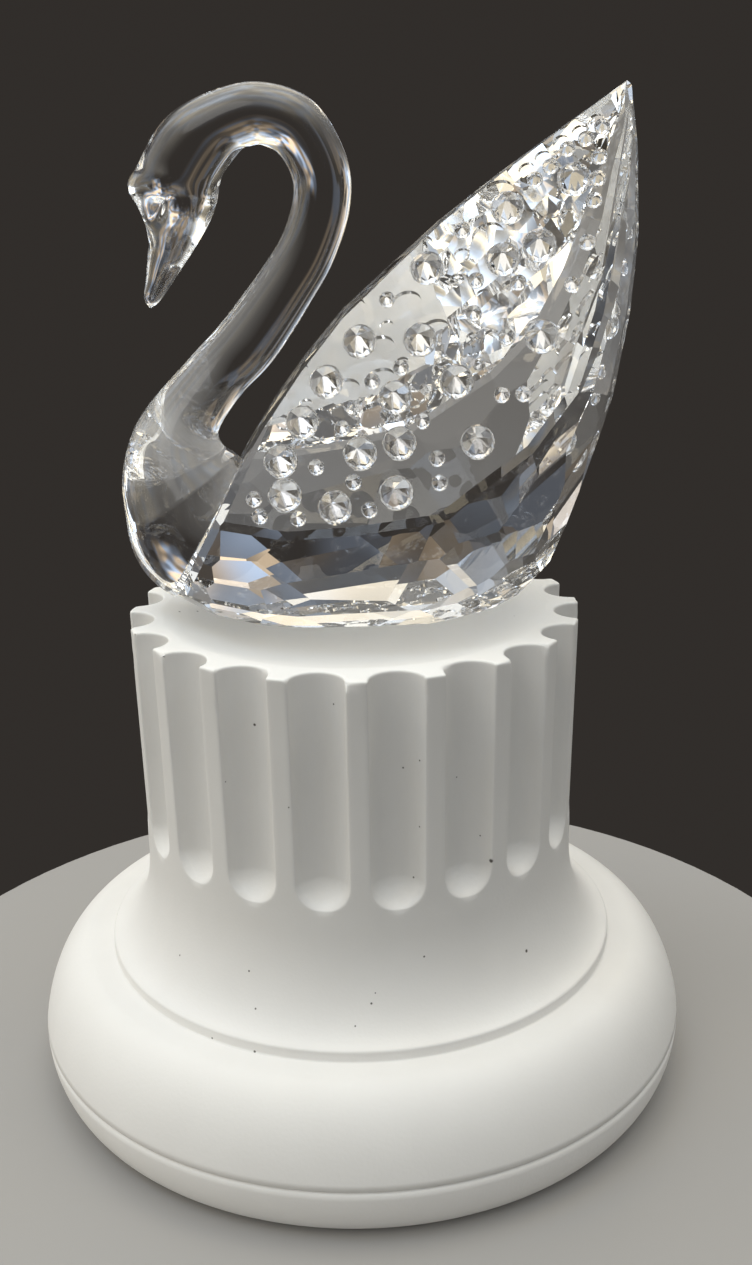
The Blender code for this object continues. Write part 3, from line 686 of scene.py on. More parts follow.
def hull_point(station, angle):
    """A quarter ellipse from the wing's lower edge, at angle 0, to the keel, at a right angle."""
    keel_x, keel_z, depth = hull_row(station)
    ahead, behind = hull_row(station + SLOPE), hull_row(station - SLOPE)
    along = Vector((ahead[0] - behind[0], 0.0, ahead[1] - behind[1])).normalized()
    outward = Vector((along.z, 0.0, -along.x))
    depth += EDGE_RISE
    edge_x, edge_z = keel_x - outward.x * depth, keel_z - outward.z * depth
    half_width = abs(on_wing(edge_x, edge_z, -1).y)
    point = swan_point(edge_x, edge_z) + outward * (SWAN_HEIGHT * depth / 100 * math.sin(angle))
    point.y = -half_width * math.cos(angle)
    return point


def hull_cloud():
    """Points spread over the whole hull and the crest, which no cut may pass inside of."""
    stations = np.linspace(0.0, len(KEEL_POINTS) - 1, CLOUD_STATIONS)
    angles = np.linspace(0.0, KEEL_ANGLE, CLOUD_ANGLES)
    points = [hull_point(station, angle) for station in stations for angle in angles]
    left = np.array(points + [swan_point(*corner) for corner in CREST_CORNERS])
    return np.vstack([left, left * np.array(MIRROR)])


def touching_plane(normal, cloud):
    """The plane with that normal that just touches the cloud from outside."""
    return Vector(cloud[int(np.argmax(cloud @ np.array(normal)))]), normal


def chamfer(plane_a, plane_b, width):
    """The plane that takes off the edge where two planes meet, width deep into each."""
    normal_a, normal_b = plane_a[1], plane_b[1]
    line = normal_a.cross(normal_b)
    offset_a, offset_b = plane_a[0].dot(normal_a), plane_b[0].dot(normal_b)
    edge = (offset_a * normal_b.cross(line) + offset_b * line.cross(normal_a)) / line.length_squared
    normal = (normal_a + normal_b).normalized()
    return edge - normal * (width * math.sqrt(max(0.0, 1.0 - normal.dot(normal_a) ** 2))), normal


# %% [markdown]
# ## One plane for each facet
#
# The facets stand in columns from the breast to the tail, four rows deep, and each column is turned
# a little against the one before it, as hand cutting leaves them. The first columns, next to the
# breast, have five narrower rows and face forwards more: in the photograph these are the facets that
# show blue and brown. Thin extra planes take off the edge of the wing and the edge of the joint.
# Decimate or a low-polygon sphere could give facets too, but not planes that one can aim.

# %% Planes of the cut body


def hull_plane(station, angle, cloud):
    """The plane that lies on the left hull there: its normal is square to two small steps on the hull."""
    along = hull_point(station + SLOPE, angle) - hull_point(station - SLOPE, angle)
    down = hull_point(station, angle + ANGLE_SLOPE) - hull_point(station, angle - ANGLE_SLOPE)
    return touching_plane(down.cross(along).normalized(), cloud)


def turned_forwards(plane, hinge, degrees):
    """A plane turned about the upright through a point on it that stays on the hull."""
    normal = Matrix.Rotation(-math.radians(degrees), 3, "Z") @ plane[1]
    level = plane[1].dot(plane[0] - hinge) * plane[1]
    return hinge + level, normal


def body_planes():
    """Planes across the middle, then planes of the left side, each with its place and outward normal."""
    cloud = hull_cloud()
    middle = [joint_plane()]
    for here, there in zip(CREST_CORNERS, CREST_CORNERS[1:]):
        along = (swan_point(*there) - swan_point(*here)).normalized()
        middle.append((swan_point(*here), Vector((-along.z, 0.0, along.x))))
    rear_length = len(KEEL_POINTS) - 1 - KEEL_CORNER
    stations = [KEEL_CORNER * (column + 0.5) / BOTTOM_COLUMNS for column in range(BOTTOM_COLUMNS)]
    stations += [KEEL_CORNER + rear_length * (column + 0.5) / REAR_COLUMNS for column in range(REAR_COLUMNS)]
    columns = []
    for station in stations:
        along = hull_point(station + SLOPE, KEEL_ANGLE) - hull_point(station - SLOPE, KEEL_ANGLE)
        middle.append(touching_plane(Vector((along.z, 0.0, -along.x)).normalized(), cloud))
        stagger = STAGGER * (-1) ** len(columns)
        angles = FRONT_ROW_ANGLES if len(columns) < len(FRONT_TURNS) else HULL_ROW_ANGLES
        columns.append([hull_plane(station, angle + stagger, cloud) for angle in angles])
    for column, turn in enumerate(FRONT_TURNS):
        hinge = KEEL_CORNER * (column + 1.0) / BOTTOM_COLUMNS
        columns[column] = [turned_forwards(plane, hull_point(hinge, angle), turn)
                           for plane, angle in zip(columns[column], FRONT_ROW_ANGLES)]
    wing = (on_wing(*CREST_CORNERS[-1], -1), wing_normal(-1))
    rim_cuts = [chamfer(wing, column[0], EDGE_CHAMFER) for column in columns[:-1]]
    beside_joint = [wing] + columns[0][:JOINT_CHAMFER_ROWS]
    joint_cuts = [chamfer(middle[0], plane, JOINT_CHAMFER) for plane in beside_joint]
    return middle, [wing] + [plane for column in columns for plane in column] + rim_cuts + joint_cuts


BLOCK_SIZE = 0.4
CUT_REACH = 2e-6


def cut_by_plane(bm, point, normal):
    """Take away what lies outside a plane, and close the cut with one flat facet."""
    geometry = bm.verts[:] + bm.edges[:] + bm.faces[:]
    cut = bmesh.ops.bisect_plane(bm, geom=geometry, dist=CUT_REACH, plane_co=point, plane_no=normal,
                                 clear_outer=True)["geom_cut"]
    edges = [item for item in cut if isinstance(item, bmesh.types.BMEdge) and item.is_boundary]
    if edges:
        bmesh.ops.edgeloop_fill(bm, edges=edges)


def cut_body():
    """Cut a block by every plane, those of the left side also mirrored."""
    middle, left = body_planes()
    bm = bmesh.new()
    bmesh.ops.create_cube(bm, size=BLOCK_SIZE)
    for point, normal in middle:
        cut_by_plane(bm, point, normal)
    for point, normal in left:
        cut_by_plane(bm, point, normal)
        cut_by_plane(bm, point * MIRROR, normal * MIRROR)
    mesh = bpy.data.meshes.new("faceted_body_glass")
    bm.to_mesh(mesh)
    bm.free()
    body = bpy.data.objects.new("faceted_body_glass", mesh)
    bpy.context.scene.collection.objects.link(body)
    return body


body = cut_body()
print("facets of the body:", len(body.data.polygons))

# %% [markdown]
# ## Stones in the wings
#
# Each wing holds 49 round stones in two sizes, set with their points outwards. A stone is a cone cut
# into eight flat facets over a short round girdle. Where a flat facet meets the round girdle, its
# edge dips, and those dips make the scalloped bright ring that the photograph shows. Copies of one
# small array, each turned and moved by a matrix, make all the stones of a wing and a size at once.
# Instances on points would do the same, but a plain array keeps the number of triangles in sight.

# %% Stone shape and places
LARGE_STONE_RADIUS = 1.58 * MM
SMALL_STONE_RADIUS = 0.75 * MM
STONE_RISE = 0.92
GIRDLE_SLOPE = 1.9
GIRDLE_SHARE = 0.10
GIRDLE_HEIGHT = 0.03 * MM
LARGE_STONE_SINK = 0.18 * MM
SMALL_STONE_SINK = 0.14 * MM
SEAT_CLEARANCE = 0.08 * MM
STONE_TURN = math.radians(137.5)
STONE_FACETS = 8
GIRDLE_STEPS = 24
LARGE_STONES = [(28.9, 78.5), (14.3, 68.4), (34.2, 72.1), (27.8, 69.8), (40.7, 83.2), (33.9, 57.0),
                (1.9, 56.1), (12.7, 56.4), (18.9, 49.5), (-4.2, 49.3), (8.0, 46.8), (-8.7, 42.5),
                (8.6, 39.3), (22.2, 39.7), (1.6, 37.5), (-12.7, 36.0), (7.8, 31.2), (-12.0, 30.4),
                (-3.1, 28.6)]
SMALL_STONES = [(46.0, 92.0), (43.1, 90.0), (39.8, 88.3), (36.7, 85.4), (45.3, 86.9), (44.8, 83.3),
                (33.9, 83.2), (44.0, 79.6), (20.8, 74.7), (22.9, 66.3), (30.3, 65.9), (42.5, 72.6),
                (39.6, 65.6), (22.3, 60.8), (27.9, 56.9), (7.0, 63.1), (9.2, 51.7), (4.0, 49.4),
                (26.7, 47.4), (30.4, 47.6), (-1.5, 41.6), (12.7, 43.0), (-6.3, 35.1), (15.1, 36.9),
                (15.4, 33.0), (0.3, 32.8), (3.0, 28.3), (-17.6, 29.6), (-16.6, 26.8), (-9.7, 26.6)]


def stone_points(radius, foot):
    """One stone: its point, the edge of its facets, the widest ring, and its level lower ring.

    A facet's height is the point's less the rise times the way out, measured along the facet's own
    direction. The girdle is a steep cone, and the edge lies where the two heights are equal:
    way out = (radius * girdle slope + widest height - point height) / (girdle slope - rise * cosine).
    """
    ring = circle(GIRDLE_STEPS)
    angle = np.arctan2(ring[:, 1], ring[:, 0])
    facet = 2 * math.pi / STONE_FACETS
    cosine = np.cos(angle - np.round(angle / facet) * facet)
    point = radius * (STONE_RISE + GIRDLE_SHARE * (GIRDLE_SLOPE - STONE_RISE)) + GIRDLE_HEIGHT
    out = (radius * GIRDLE_SLOPE + GIRDLE_HEIGHT - point) / (GIRDLE_SLOPE - STONE_RISE * cosine)
    upper = np.column_stack([ring * out[:, None], point - STONE_RISE * out * cosine])
    widest = np.column_stack([ring * radius, np.full(GIRDLE_STEPS, GIRDLE_HEIGHT)])
    lower = np.column_stack([ring * radius, np.full(GIRDLE_STEPS, foot)])
    return np.vstack([[0.0, 0.0, point], upper, widest, lower])


def stone_faces():
    """Triangles from the point to the facets' edge, squares down the girdle, and one face below."""
    here = np.arange(GIRDLE_STEPS)
    after = (here + 1) % GIRDLE_STEPS
    faces = np.column_stack([np.zeros(GIRDLE_STEPS, int), 1 + here, 1 + after]).tolist()
    for ring in (1, 1 + GIRDLE_STEPS):
        below = ring + GIRDLE_STEPS
        faces += np.column_stack([ring + here, below + here, below + after, ring + after]).tolist()
    return faces + [(below + here[::-1]).tolist()]


def wing_matrices(places, side):
    """Matrices that stand stones on a wing: +Z is its outward normal, and each is turned differently."""
    normal = wing_normal(side)
    tipward = Vector((1.0, 0.0, 1.0))
    along = (tipward - normal * tipward.dot(normal)).normalized()
    stand = Matrix((along, normal.cross(along), normal)).transposed().to_4x4()
    matrices = []
    for number, place in enumerate(places):
        turn = Matrix.Rotation(number * STONE_TURN, 4, "Z")
        matrices.append(Matrix.Translation(on_wing(*place, side)) @ stand @ turn)
    return np.array(matrices)


def copies(points, faces, matrices):
    """The same shape at every matrix, as one array of points and one list of faces."""
    placed = np.einsum("nij,pj->npi", matrices[:, :3, :3], points) + matrices[:, None, :3, 3]
    starts = np.arange(len(matrices)) * len(points)
    faces = [[start + index for index in face] for start in starts.tolist() for face in faces]
    return placed.reshape(-1, 3), faces


def add_stones(name, places, side, radius, foot):
    """All stones of one size on one wing; the facets and the ground girdle take a material each."""
    shape = stone_faces()
    points, faces = copies(stone_points(radius, foot), shape, wing_matrices(places, side))
    stones = add_piece(name, points, faces, smooth=False)
    number = np.arange(len(faces)) % len(shape)
    ground = (number >= GIRDLE_STEPS) & (number < 2 * GIRDLE_STEPS)
    for _ in range(2):
        stones.data.materials.append(None)
    stones.data.polygons.foreach_set("material_index", ground.astype(np.int32))
    print(name, "stones:", len(places), "faces:", len(faces))
    return stones


# %% [markdown]
# ## Seats for the stones
#
# A jeweller drills a flat-bottomed seat a little wider than the stone and glues the stone into it.
# A Boolean modifier does the drilling here, with one object that holds a short round rod for every
# seat. Some seats touch, so the modifier must be told that its cutter may overlap itself. The same
# cutter sinks a very shallow pocket into the face that the breast is glued to.

# %% Sink the seats and set the stones
LARGE_SEAT = LARGE_STONE_SINK + SEAT_CLEARANCE
SMALL_SEAT = SMALL_STONE_SINK + 0.5 * SEAT_CLEARANCE


def rod_faces(sides):
    """Faces of a closed rod whose points are a lower and an upper ring."""
    here = np.arange(sides)
    after = (here + 1) % sides
    faces = np.column_stack([here, after, sides + after, sides + here]).tolist()
    return faces + [here[::-1].tolist(), (sides + here).tolist()]


def round_pockets(places, radius, depth, side):
    """Short round rods that stand half in the wing: two rings, squares between them, and two ends."""
    ring = radius * circle(GIRDLE_STEPS)
    shape = np.vstack([np.column_stack([ring, np.full(GIRDLE_STEPS, z)]) for z in (-depth, depth)])
    return copies(shape, rod_faces(GIRDLE_STEPS), wing_matrices(places, side))


def glue_pocket():
    """A very shallow pocket in the joint's face, as wide as the breast's last ring."""
    normal = np.array(joint_plane()[1])
    ring = neck_rings[-1]
    inner = ring - normal * GLUE_THICKNESS
    return np.vstack([inner, inner + normal * 4 * GLUE_THICKNESS]), rod_faces(len(ring))


def add_pockets():
    """All pockets as one shape that only cuts."""
    sizes = ((LARGE_STONES, LARGE_STONE_RADIUS + SEAT_CLEARANCE, LARGE_SEAT),
             (SMALL_STONES, SMALL_STONE_RADIUS + 0.5 * SEAT_CLEARANCE, SMALL_SEAT))
    rods = [round_pockets(places, radius, depth, side)
            for side in (-1, 1) for places, radius, depth in sizes]
    rods.append(glue_pocket())
    faces, count = [], 0
    for points, rod in rods:
        faces += [[index + count for index in face] for face in rod]
        count += len(points)
    pockets = add_piece("pockets", np.vstack([points for points, _ in rods]), faces, smooth=False)
    facing_out(pockets)
    return pockets


pockets = add_pockets()
cut = body.modifiers.new("Pockets", "BOOLEAN")
cut.operation = "DIFFERENCE"
cut.solver = "EXACT"
cut.use_self = True
cut.object = pockets
with_seats = bpy.data.meshes.new_from_object(body.evaluated_get(bpy.context.evaluated_depsgraph_get()))
body.modifiers.clear()
body.data = with_seats
bpy.data.objects.remove(pockets, do_unlink=True)
body.data.shade_flat()
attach(body, "root")
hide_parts("faceted_body")
print("faces of the body with seats:", len(body.data.polygons))

stone_pieces = []
for side, wing in ((-1, "left"), (1, "right")):
    large = add_stones(f"large_stones_{wing}", LARGE_STONES, side, LARGE_STONE_RADIUS, -LARGE_STONE_SINK)
    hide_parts(*[f"wing_stone_{wing}_{number:02d}" for number in range(1, len(LARGE_STONES) + 1)])
    small = add_stones(f"small_stones_{wing}", SMALL_STONES, side, SMALL_STONE_RADIUS, -SMALL_STONE_SINK)
    stone_pieces += [large, small]
for stones in stone_pieces:
    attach(stones, "root")

# %% [markdown]
# ## Materials as expressions
#
# A material is a graph of nodes. Written node by node it is long and hard to read, so a small class
# stands for one output socket, and the signs + - * / ** on it add Math nodes. Each sign that can also
# stand after a plain number has a reflected form, so that 1 - mask works. A Math node would turn a
# colour grey, so colours are mixed by a Mix node instead.

# %% A socket that does sums


def sign(operation, reflected=False):
    """The method behind one sign: it adds a Math node, with both sides in the order they are written."""
    def method(self, other):
        sides = (other, self) if reflected else (self, other)
        return add_node(self.tree, "Math", dict(enumerate(sides)), operation=operation)[0]
    return method


class Value:
    """One output socket of a graph; a sign between two values, or a value and a number, adds a node."""

    def __init__(self, socket):
        self.socket = socket
        self.tree = socket.id_data

    __add__ = sign("ADD")
    __radd__ = sign("ADD", reflected=True)
    __sub__ = sign("SUBTRACT")
    __rsub__ = sign("SUBTRACT", reflected=True)
    __mul__ = sign("MULTIPLY")
    __rmul__ = sign("MULTIPLY", reflected=True)
    __truediv__ = sign("DIVIDE")
    __pow__ = sign("POWER")
    maximum = sign("MAXIMUM")
    minimum = sign("MINIMUM")


def add_node(tree, kind, inputs=None, **settings):
    """Add one node: settings first, then its sockets; returns its outputs as values."""
    node = tree.nodes.new("ShaderNode" + kind)
    for name, setting in settings.items():
        setattr(node, name, setting)
    for name, item in (inputs or {}).items():
        if isinstance(item, Value):
            tree.links.new(item.socket, node.inputs[name])
        else:
            node.inputs[name].default_value = item
    return [Value(output) for output in node.outputs]


def ramp(value, start, end):
    """0 before start, 1 after end, and a smooth S between them."""
    return add_node(value.tree, "MapRange", {
        "Value": value, "From Min": start, "From Max": end, "To Min": 0.0, "To Max": 1.0},
        interpolation_type="SMOOTHSTEP")[0]


def mix_colours(factor, first, second):
    """The first colour where the factor is 0, the second where it is 1."""
    return add_node(factor.tree, "Mix", {"Factor": factor, 6: first, 7: second}, data_type="RGBA")[2]


def split(vector):
    """The x, y and z of a vector."""
    return add_node(vector.tree, "SeparateXYZ", {0: vector})


def new_material(name):
    """A material with an empty graph, and that graph."""
    material = bpy.data.materials.new(name)
    material.use_nodes = True
    material.node_tree.nodes.clear()
    return material, material.node_tree


def add_surface(tree, values):
    """The material's one shader, with values or links in its sockets, joined to the output."""
    shader = add_node(tree, "BsdfPrincipled", values)[0]
    add_node(tree, "OutputMaterial", {"Surface": shader})


# %% [markdown]
# ## Clear crystal
#
# Lead crystal is clear and colourless, and bends light more than window glass does: its index is
# about 1.56. Plain values on the shader say all of that, and no image or tint is needed. What makes
# the piece sparkle is its shape. Two things need a material of their own. Where breast and body are
# glued, the glue fills the gap, so light passes as if nothing were there: an index of 1. The stones
# are small bright gems with a reflecting back, which takes up part of the light. A higher index makes
# light turn back at their facets in the same way, and a faint grey stands for what the back takes
# up: that gives dark and light wedges much like those in the photograph. Their girdle is ground, not
# polished, and shows as a thin pale ring.

# %% Clear crystal
CRYSTAL_INDEX = 1.56
STONE_INDEX = 2.0
COLOURLESS = (1.0, 1.0, 1.0, 1.0)
STONE_GREY = (0.78, 0.78, 0.79, 1.0)
GROUND_ROUGHNESS = 0.2
AIR_INDEX = 1.0
SQUARE_ON = 0.999
GLUED_NEAREST, GLUED_FURTHEST = 0.3 * GLUE_POCKET, 2 * GLUE_THICKNESS


def make_crystal(name, index, colour=COLOURLESS, roughness=0.0):
    """Clear glass: it lets light through and bends it by its index; a ground face spreads it a little."""
    material, tree = new_material(name)
    add_surface(tree, {"Base Color": colour, "Roughness": roughness, "IOR": index,
                       "Transmission Weight": 1.0})
    return material


def faces_along(piece, middle, normal, nearest, furthest):
    """Which faces are square to a normal, and lie between two distances from the plane through middle."""
    count = len(piece.data.polygons)
    centres, normals = np.empty(3 * count), np.empty(3 * count)
    piece.data.polygons.foreach_get("center", centres)
    piece.data.polygons.foreach_get("normal", normals)
    off = (centres.reshape(-1, 3) - np.array(middle)) @ np.array(normal)
    square = np.abs(normals.reshape(-1, 3) @ np.array(normal)) > SQUARE_ON
    return (off > nearest) & (off < furthest) & square


crystal = make_crystal("cut_crystal", CRYSTAL_INDEX)
clear_glue = make_crystal("clear_glue", AIR_INDEX)
stone_crystal = make_crystal("stone_crystal", STONE_INDEX, STONE_GREY)
ground_girdle = make_crystal("ground_girdle", STONE_INDEX, STONE_GREY, GROUND_ROUGHNESS)
joint_middle, joint_normal = joint_plane()
for piece, normal in ((neck, joint_normal), (body, -joint_normal)):
    glued = faces_along(piece, joint_middle, normal, GLUED_NEAREST, GLUED_FURTHEST).astype(np.int32)
    piece.data.materials.clear()
    for material in (crystal, clear_glue):
        piece.data.materials.append(material)
    piece.data.polygons.foreach_set("material_index", glued)
    print(piece.name, "faces of each material:", np.bincount(glued).tolist())
for stones in stone_pieces:
    for number, material in enumerate((stone_crystal, ground_girdle)):
        stones.data.materials[number] = material

# %% [markdown]
# ## White casting
#
# The stand is cast in a fine white compound and left matte. Its white isn't even: a slow mottle runs
# through it, a grain so fine that only its shading shows, and dark specks where dust or air was
# caught. The specks on the front are placed one by one, as the photograph shows them, and a few
# random ones carry on round the back. The rim's flat top and the dish are painted whiter. This is
# painted light on these upward faces, which the clear swan above them shades. Painting all this on a
# texture would tie it to one unwrapping; read from the object's own coordinates, it stays in place
# however the piece is turned.

# %% White casting
# Dark specks that the photograph shows: x, y, z and radius, in mm
SPECKS = [(12.7, -19.2, 31.2, 0.24), (-9.6, -18.5, 45.7, 0.17), (5.7, -21.6, 43.0, 0.11),
          (4.2, -20.7, 41.9, 0.12), (9.4, -18.7, 39.9, 0.10), (5.7, -21.5, 36.2, 0.11),
          (5.1, -21.0, 30.6, 0.12), (11.7, -18.5, 33.6, 0.10), (16.6, -17.2, 19.9, 0.20),
          (6.0, -22.5, 22.8, 0.12), (0.8, -24.3, 18.9, 0.13), (1.2, -23.9, 19.8, 0.08),
          (-0.8, -25.3, 17.1, 0.10), (-10.5, -22.7, 17.6, 0.12), (-14.8, -23.3, 14.8, 0.12),
          (-10.5, -25.5, 14.7, 0.16), (-11.1, -20.9, 20.7, 0.12), (-18.6, -15.4, 19.3, 0.11),
          (-2.1, -21.1, 48.6, 0.10), (-6.5, -22.3, 38.9, 0.11), (-12.6, -19.1, 40.2, 0.10)]
SPECK_EDGE = (0.45, 1.15)
SPECK_COLOUR = (0.10, 0.09, 0.08, 1.0)
# Scattered specks: cells to a metre, a speck's size in a cell, the share of cells with none, and
# where the front ends
CELL_SCALE = 600.0
CELL_SPECK = (0.04, 0.09)
CELL_CHANCE = (0.88, 0.90)
FRONT_END = (-6 * MM, -4 * MM)
# Painted light: a whiter colour on the rim's flat top and in the dish, which the clear swan shades
PAINTED_TOP_LIGHT_COLOUR = (0.91, 0.905, 0.885, 1.0)
PAINTED_LIGHT_TOP = (PEDESTAL_HEIGHT - 0.25 * MM, PEDESTAL_HEIGHT - 0.05 * MM)
PAINTED_LIGHT_DISH = (DISH_RADIUS - 0.2 * MM, DISH_RADIUS + 0.1 * MM)
ABOVE_BASE = (20 * MM, 25 * MM)
MOTTLE_SCALE, GRAIN_SCALE = 140.0, 2600.0
CAST_DARK, CAST_LIGHT = (0.77, 0.76, 0.74, 1.0), (0.83, 0.82, 0.80, 1.0)
GRAIN_STRENGTH, GRAIN_HEIGHT = 0.25, 0.06 * MM
CAST_ROUGHNESS = 0.72


def specks_seen(place):
    """1 inside any of the listed specks, falling to 0 over its edge."""
    nearest = None
    for *middle, radius in SPECKS:
        away = add_node(place.tree, "VectorMath", {
            0: place, 1: [value * MM for value in middle]}, operation="DISTANCE")[1] / (radius * MM)
        nearest = away if nearest is None else nearest.minimum(away)
    return 1 - ramp(nearest, *SPECK_EDGE)


def specks_behind(place):
    """Scattered specks for the back, which the photograph doesn't show: spheres in a few random cells."""
    away, cell = add_node(place.tree, "TexVoronoi", {"Vector": place, "Scale": CELL_SCALE})[:2]
    chance = add_node(place.tree, "SeparateColor", {"Color": cell})[0]
    y = split(place)[1]
    return (1 - ramp(away, *CELL_SPECK)) * ramp(chance, *CELL_CHANCE) * ramp(y, *FRONT_END)


def painted_top_light(place):
    """1 on the rim's flat top and in the dish, where light is painted on as a whiter colour, and 0 below."""
    x, y, z = split(place)
    radius = (x * x + y * y) ** 0.5
    inside = (1 - ramp(radius, *PAINTED_LIGHT_DISH)) * ramp(z, *ABOVE_BASE)
    return ramp(z, *PAINTED_LIGHT_TOP).maximum(inside)


def make_cast(name):
    """Matte white casting: a faint mottle, a fine grain in the surface, dark specks, and painted light on
    the rim's top and in the dish.
    """
    material, tree = new_material(name)
    place = add_node(tree, "TexCoord")[3]
    mottle = add_node(tree, "TexNoise", {"Vector": place, "Scale": MOTTLE_SCALE, "Detail": 4.0})[0]
    grain = add_node(tree, "TexNoise", {"Vector": place, "Scale": GRAIN_SCALE, "Detail": 3.0})[0]
    colour = mix_colours(mottle, CAST_DARK, CAST_LIGHT)
    # Painted light: the rim's top and the dish are made whiter
    colour = mix_colours(painted_top_light(place), colour, PAINTED_TOP_LIGHT_COLOUR)
    colour = mix_colours(specks_seen(place).maximum(specks_behind(place)), colour, SPECK_COLOUR)
    bump = add_node(tree, "Bump", {
        "Strength": GRAIN_STRENGTH, "Distance": GRAIN_HEIGHT, "Height": grain})[0]
    add_surface(tree, {"Base Color": colour, "Roughness": CAST_ROUGHNESS, "Normal": bump})
    return material


pedestal.data.materials.append(make_cast("white_cast"))

# %% [markdown]
# ## Floor and light
#
# A plain pale disc carries the pedestal. It is kept small and grey, because the clear body mirrors
# it from below, and a wide white floor would wash out the dark facets. It belongs to the studio and
# not to the object.

# %% Stage
FLOOR_RADIUS = 60 * MM
FLOOR_SIDES = 96
FLOOR_COLOUR = (0.34, 0.33, 0.32, 1.0)
FLOOR_ROUGHNESS = 0.6


def add_floor():
    """A flat disc under the pedestal."""
    ring = np.column_stack([FLOOR_RADIUS * circle(FLOOR_SIDES, 0.0), np.zeros(FLOOR_SIDES)])
    floor = add_piece("floor", ring, [list(range(FLOOR_SIDES))], smooth=False)
    material, tree = new_material("pale_floor")
    add_surface(tree, {"Base Color": FLOOR_COLOUR, "Roughness": FLOOR_ROUGHNESS})
    floor.data.materials.append(material)
    return floor


floor = add_floor()


# %% [markdown]
# ## A soft dome with cards in it
#
# Glass shows what stands round it more than it shows itself, so the light is built like a
# photographer's tent: a dome that grows brighter upwards, a window high behind the camera, pale
# walls at both sides, and cards behind the swan, each a little cool or warm. They are not lamps but
# soft bright places in the world's shader. Smooth noise read along the direction gives the cards
# their uneven light, and the facets pick small pieces out of it. To the camera itself all of this
# stays dark, so that the clear neck stands out against plain dark air.

# %% Soft dome
GLASS_BOUNCES, MIRROR_BOUNCES = 24, 16
# Each pair is a ramp: where it starts and where it ends, as a part of the direction
DARK_AIR = (0.031, 0.027, 0.024, 1.0)
SOFT_TINTS = (0.82, 0.97, 1.16, 1.0), (1.15, 1.02, 0.76, 1.0)
STRONG_TINTS = (0.74, 0.93, 1.24, 1.0), (1.30, 1.0, 0.68, 1.0)
DAYLIGHT = (1.0, 0.99, 0.95, 1.0)
CARD_LIGHT_RAMP, CARD_TINT_RAMP = (0.30, 0.70), (0.38, 0.62)
# The dome, and the window behind the camera
DOME_LIGHT, DOME_POWER = 2.75, 2.8
LEFT_SHARE, FRONT_SHARE = 0.42, 0.25
CARD_SCALE, CARD_DARK = 3.0, 0.45
BEHIND, BEHIND_TOP = (-0.10, 0.45), (0.35, 0.65)
WINDOW_LIGHT, WINDOW_SHADE = 1.3, 0.5
WINDOW_MIDDLE, WINDOW_ANGLE, WINDOW_EDGE = (-0.28, -0.76, 0.57), 13.0, 4.0
# The walls at both sides
LEFT_WALL, LEFT_EDGE = 1.10, (0.68, 0.95)
RIGHT_WALL, RIGHT_EDGE = 0.26, (0.70, 0.95)
WALL_FOOT, WALL_TOP = (-0.35, -0.05), (0.20, 0.60)
# The strips low down behind the walls
STRIP_SCALE, STRIP_GAPS = 7.0, (0.30, 0.65)
STRIP_NEAR, STRIP_FAR, STRIP_SPREAD = 0.06, 0.55, (0.50, 0.95)
STRIP_START, STRIP_FOOT, STRIP_TOP = (0.26, 0.32), (-0.30, -0.10), (0.55, 0.85)
STRIP_RIGHT_SHADE, STRIP_RIGHT_EDGE = 0.6, (0.0, 0.2)
# The wall behind the swan: a card at the right and a dim middle
PATCH_SCALE, PATCH_LEAST, PATCH_SPAN = 10.5, 0.4, 1.2
RIGHT_LOW, RIGHT_HIGH, RIGHT_RISE = 0.28, 0.60, (0.10, 0.25)
RIGHT_FOOT, RIGHT_END = (-0.05, 0.03), (0.28, 0.42)
MIDDLE_LIGHT, MIDDLE_FOOT, MIDDLE_EDGE = 0.50, 0.05, (-0.45, -0.20)
RIGHT_BORDER, REAR_TOP, REAR_EDGE = (0.11, 0.16), (0.62, 0.80), (0.20, 0.60)
# The ground far behind, and how both it and the strips fade towards the camera
GROUND_START, GROUND_LIGHT = -0.10, 0.36
FAR_SIDE = (-0.2, 0.2)


def panel(direction, middle, half_angle, edge):
    """1 inside a cone of directions round the middle, falling to 0 over an edge of some degrees."""
    aim = tuple(Vector(middle).normalized())
    cosine = add_node(direction.tree, "VectorMath", {0: direction, 1: aim}, operation="DOT_PRODUCT")[1]
    return ramp(cosine, math.cos(math.radians(half_angle + edge)), math.cos(math.radians(half_angle)))


def cards(direction, scale, tints):
    """Soft patches of directions, each with its own brightness from 0 to 1 and a cool or warm tint."""
    cloud = add_node(direction.tree, "TexNoise", {"Vector": direction, "Scale": scale, "Detail": 0.0})[1]
    bright, warm = add_node(direction.tree, "SeparateColor", {"Color": cloud})[:2]
    return ramp(bright, *CARD_LIGHT_RAMP), mix_colours(ramp(warm, *CARD_TINT_RAMP), *tints)


def dome_light(x, y, z, patches, window):
    """The dome grows brighter upwards and to the left, and leaves out what stands behind the swan."""
    dome = DOME_LIGHT * z.maximum(0.0) ** DOME_POWER * (1 - LEFT_SHARE * x - FRONT_SHARE * y)
    behind = ramp(y, *BEHIND) * (1 - ramp(z, *BEHIND_TOP))
    uneven = CARD_DARK + (2 - 2 * CARD_DARK) * patches
    return dome * (1 - behind) * uneven * (1 - window * WINDOW_SHADE)


def side_light(x, z):
    """Two pale walls, brightest straight to the left and the right."""
    walls = LEFT_WALL * ramp(0 - x, *LEFT_EDGE) + RIGHT_WALL * ramp(x, *RIGHT_EDGE)
    return walls * ramp(z, *WALL_FOOT) * (1 - ramp(z, *WALL_TOP))


def strip_light(x, y, z, patches):
    """Strips low down at both sides, brighter further out and weaker at the right."""
    aside = (x * x) ** 0.5
    low = ramp(aside, *STRIP_START) * ramp(z, *STRIP_FOOT) * (1 - ramp(z, *STRIP_TOP)) * ramp(y, *FAR_SIDE)
    strips = ramp(patches, *STRIP_GAPS) * low * (STRIP_NEAR + STRIP_FAR * ramp(aside, *STRIP_SPREAD))
    return strips * (1 - STRIP_RIGHT_SHADE * ramp(x, *STRIP_RIGHT_EDGE))


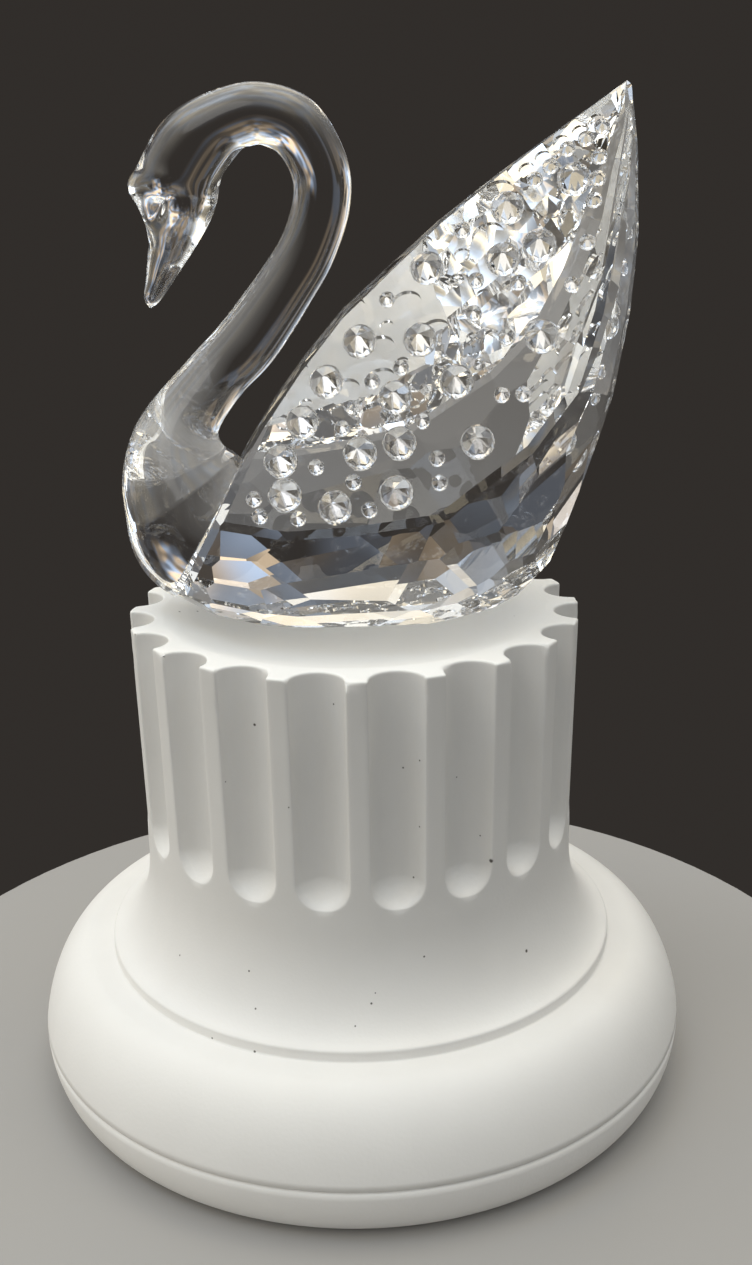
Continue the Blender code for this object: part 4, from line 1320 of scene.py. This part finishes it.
def rear_light(x, y, z, patches):
    """The wall behind the swan: at the right a card, brighter higher up, and beside it a dim middle."""
    right = (RIGHT_LOW + (RIGHT_HIGH - RIGHT_LOW) * ramp(z, *RIGHT_RISE)) * ramp(z, *RIGHT_FOOT)
    right = right * (1 - ramp(x, *RIGHT_END))
    middle = MIDDLE_LIGHT * (z - MIDDLE_FOOT).maximum(0.0) * ramp(x, *MIDDLE_EDGE)
    border = ramp(x, *RIGHT_BORDER)
    wall = (right * border + middle * (1 - border)) * (1 - ramp(z, *REAR_TOP)) * ramp(y, *REAR_EDGE)
    return wall * (PATCH_LEAST + PATCH_SPAN * patches)


def make_world():
    """Dark air to the camera; to everything else a dome with side walls, a window, and cards behind."""
    world = bpy.data.worlds.new("soft_dome")
    world.use_nodes = True
    tree = world.node_tree
    tree.nodes.clear()
    direction = add_node(tree, "TexCoord")[0]
    x, y, z = split(direction)
    soft, soft_tint = cards(direction, CARD_SCALE, SOFT_TINTS)
    strips, strip_tint = cards(direction, STRIP_SCALE, STRONG_TINTS)
    patches, patch_tint = cards(direction, PATCH_SCALE, STRONG_TINTS)
    window = WINDOW_LIGHT * panel(direction, WINDOW_MIDDLE, WINDOW_ANGLE, WINDOW_EDGE)
    ground = GROUND_LIGHT * (GROUND_START - z).maximum(0.0) * ramp(y, *FAR_SIDE)
    dark = add_node(tree, "Background", {"Color": DARK_AIR, "Strength": 1.0})[0]
    all_light = dark
    for colour, strength in ((soft_tint, dome_light(x, y, z, soft, window) + side_light(x, z)),
                             (strip_tint, strip_light(x, y, z, strips)), (DAYLIGHT, window),
                             (patch_tint, rear_light(x, y, z, patches)), (DAYLIGHT, ground)):
        part = add_node(tree, "Background", {"Color": colour, "Strength": strength})[0]
        all_light = add_node(tree, "AddShader", {0: all_light, 1: part})[0]
    seen = add_node(tree, "LightPath")[0]
    surface = add_node(tree, "MixShader", {0: seen, 1: all_light, 2: dark})[0]
    add_node(tree, "OutputWorld", {"Surface": surface})
    return world


scene = bpy.context.scene
scene.world = make_world()
scene.view_settings.view_transform = "Standard"
scene.cycles.max_bounces = GLASS_BOUNCES
scene.cycles.transmission_bounces = GLASS_BOUNCES
scene.cycles.glossy_bounces = MIRROR_BOUNCES
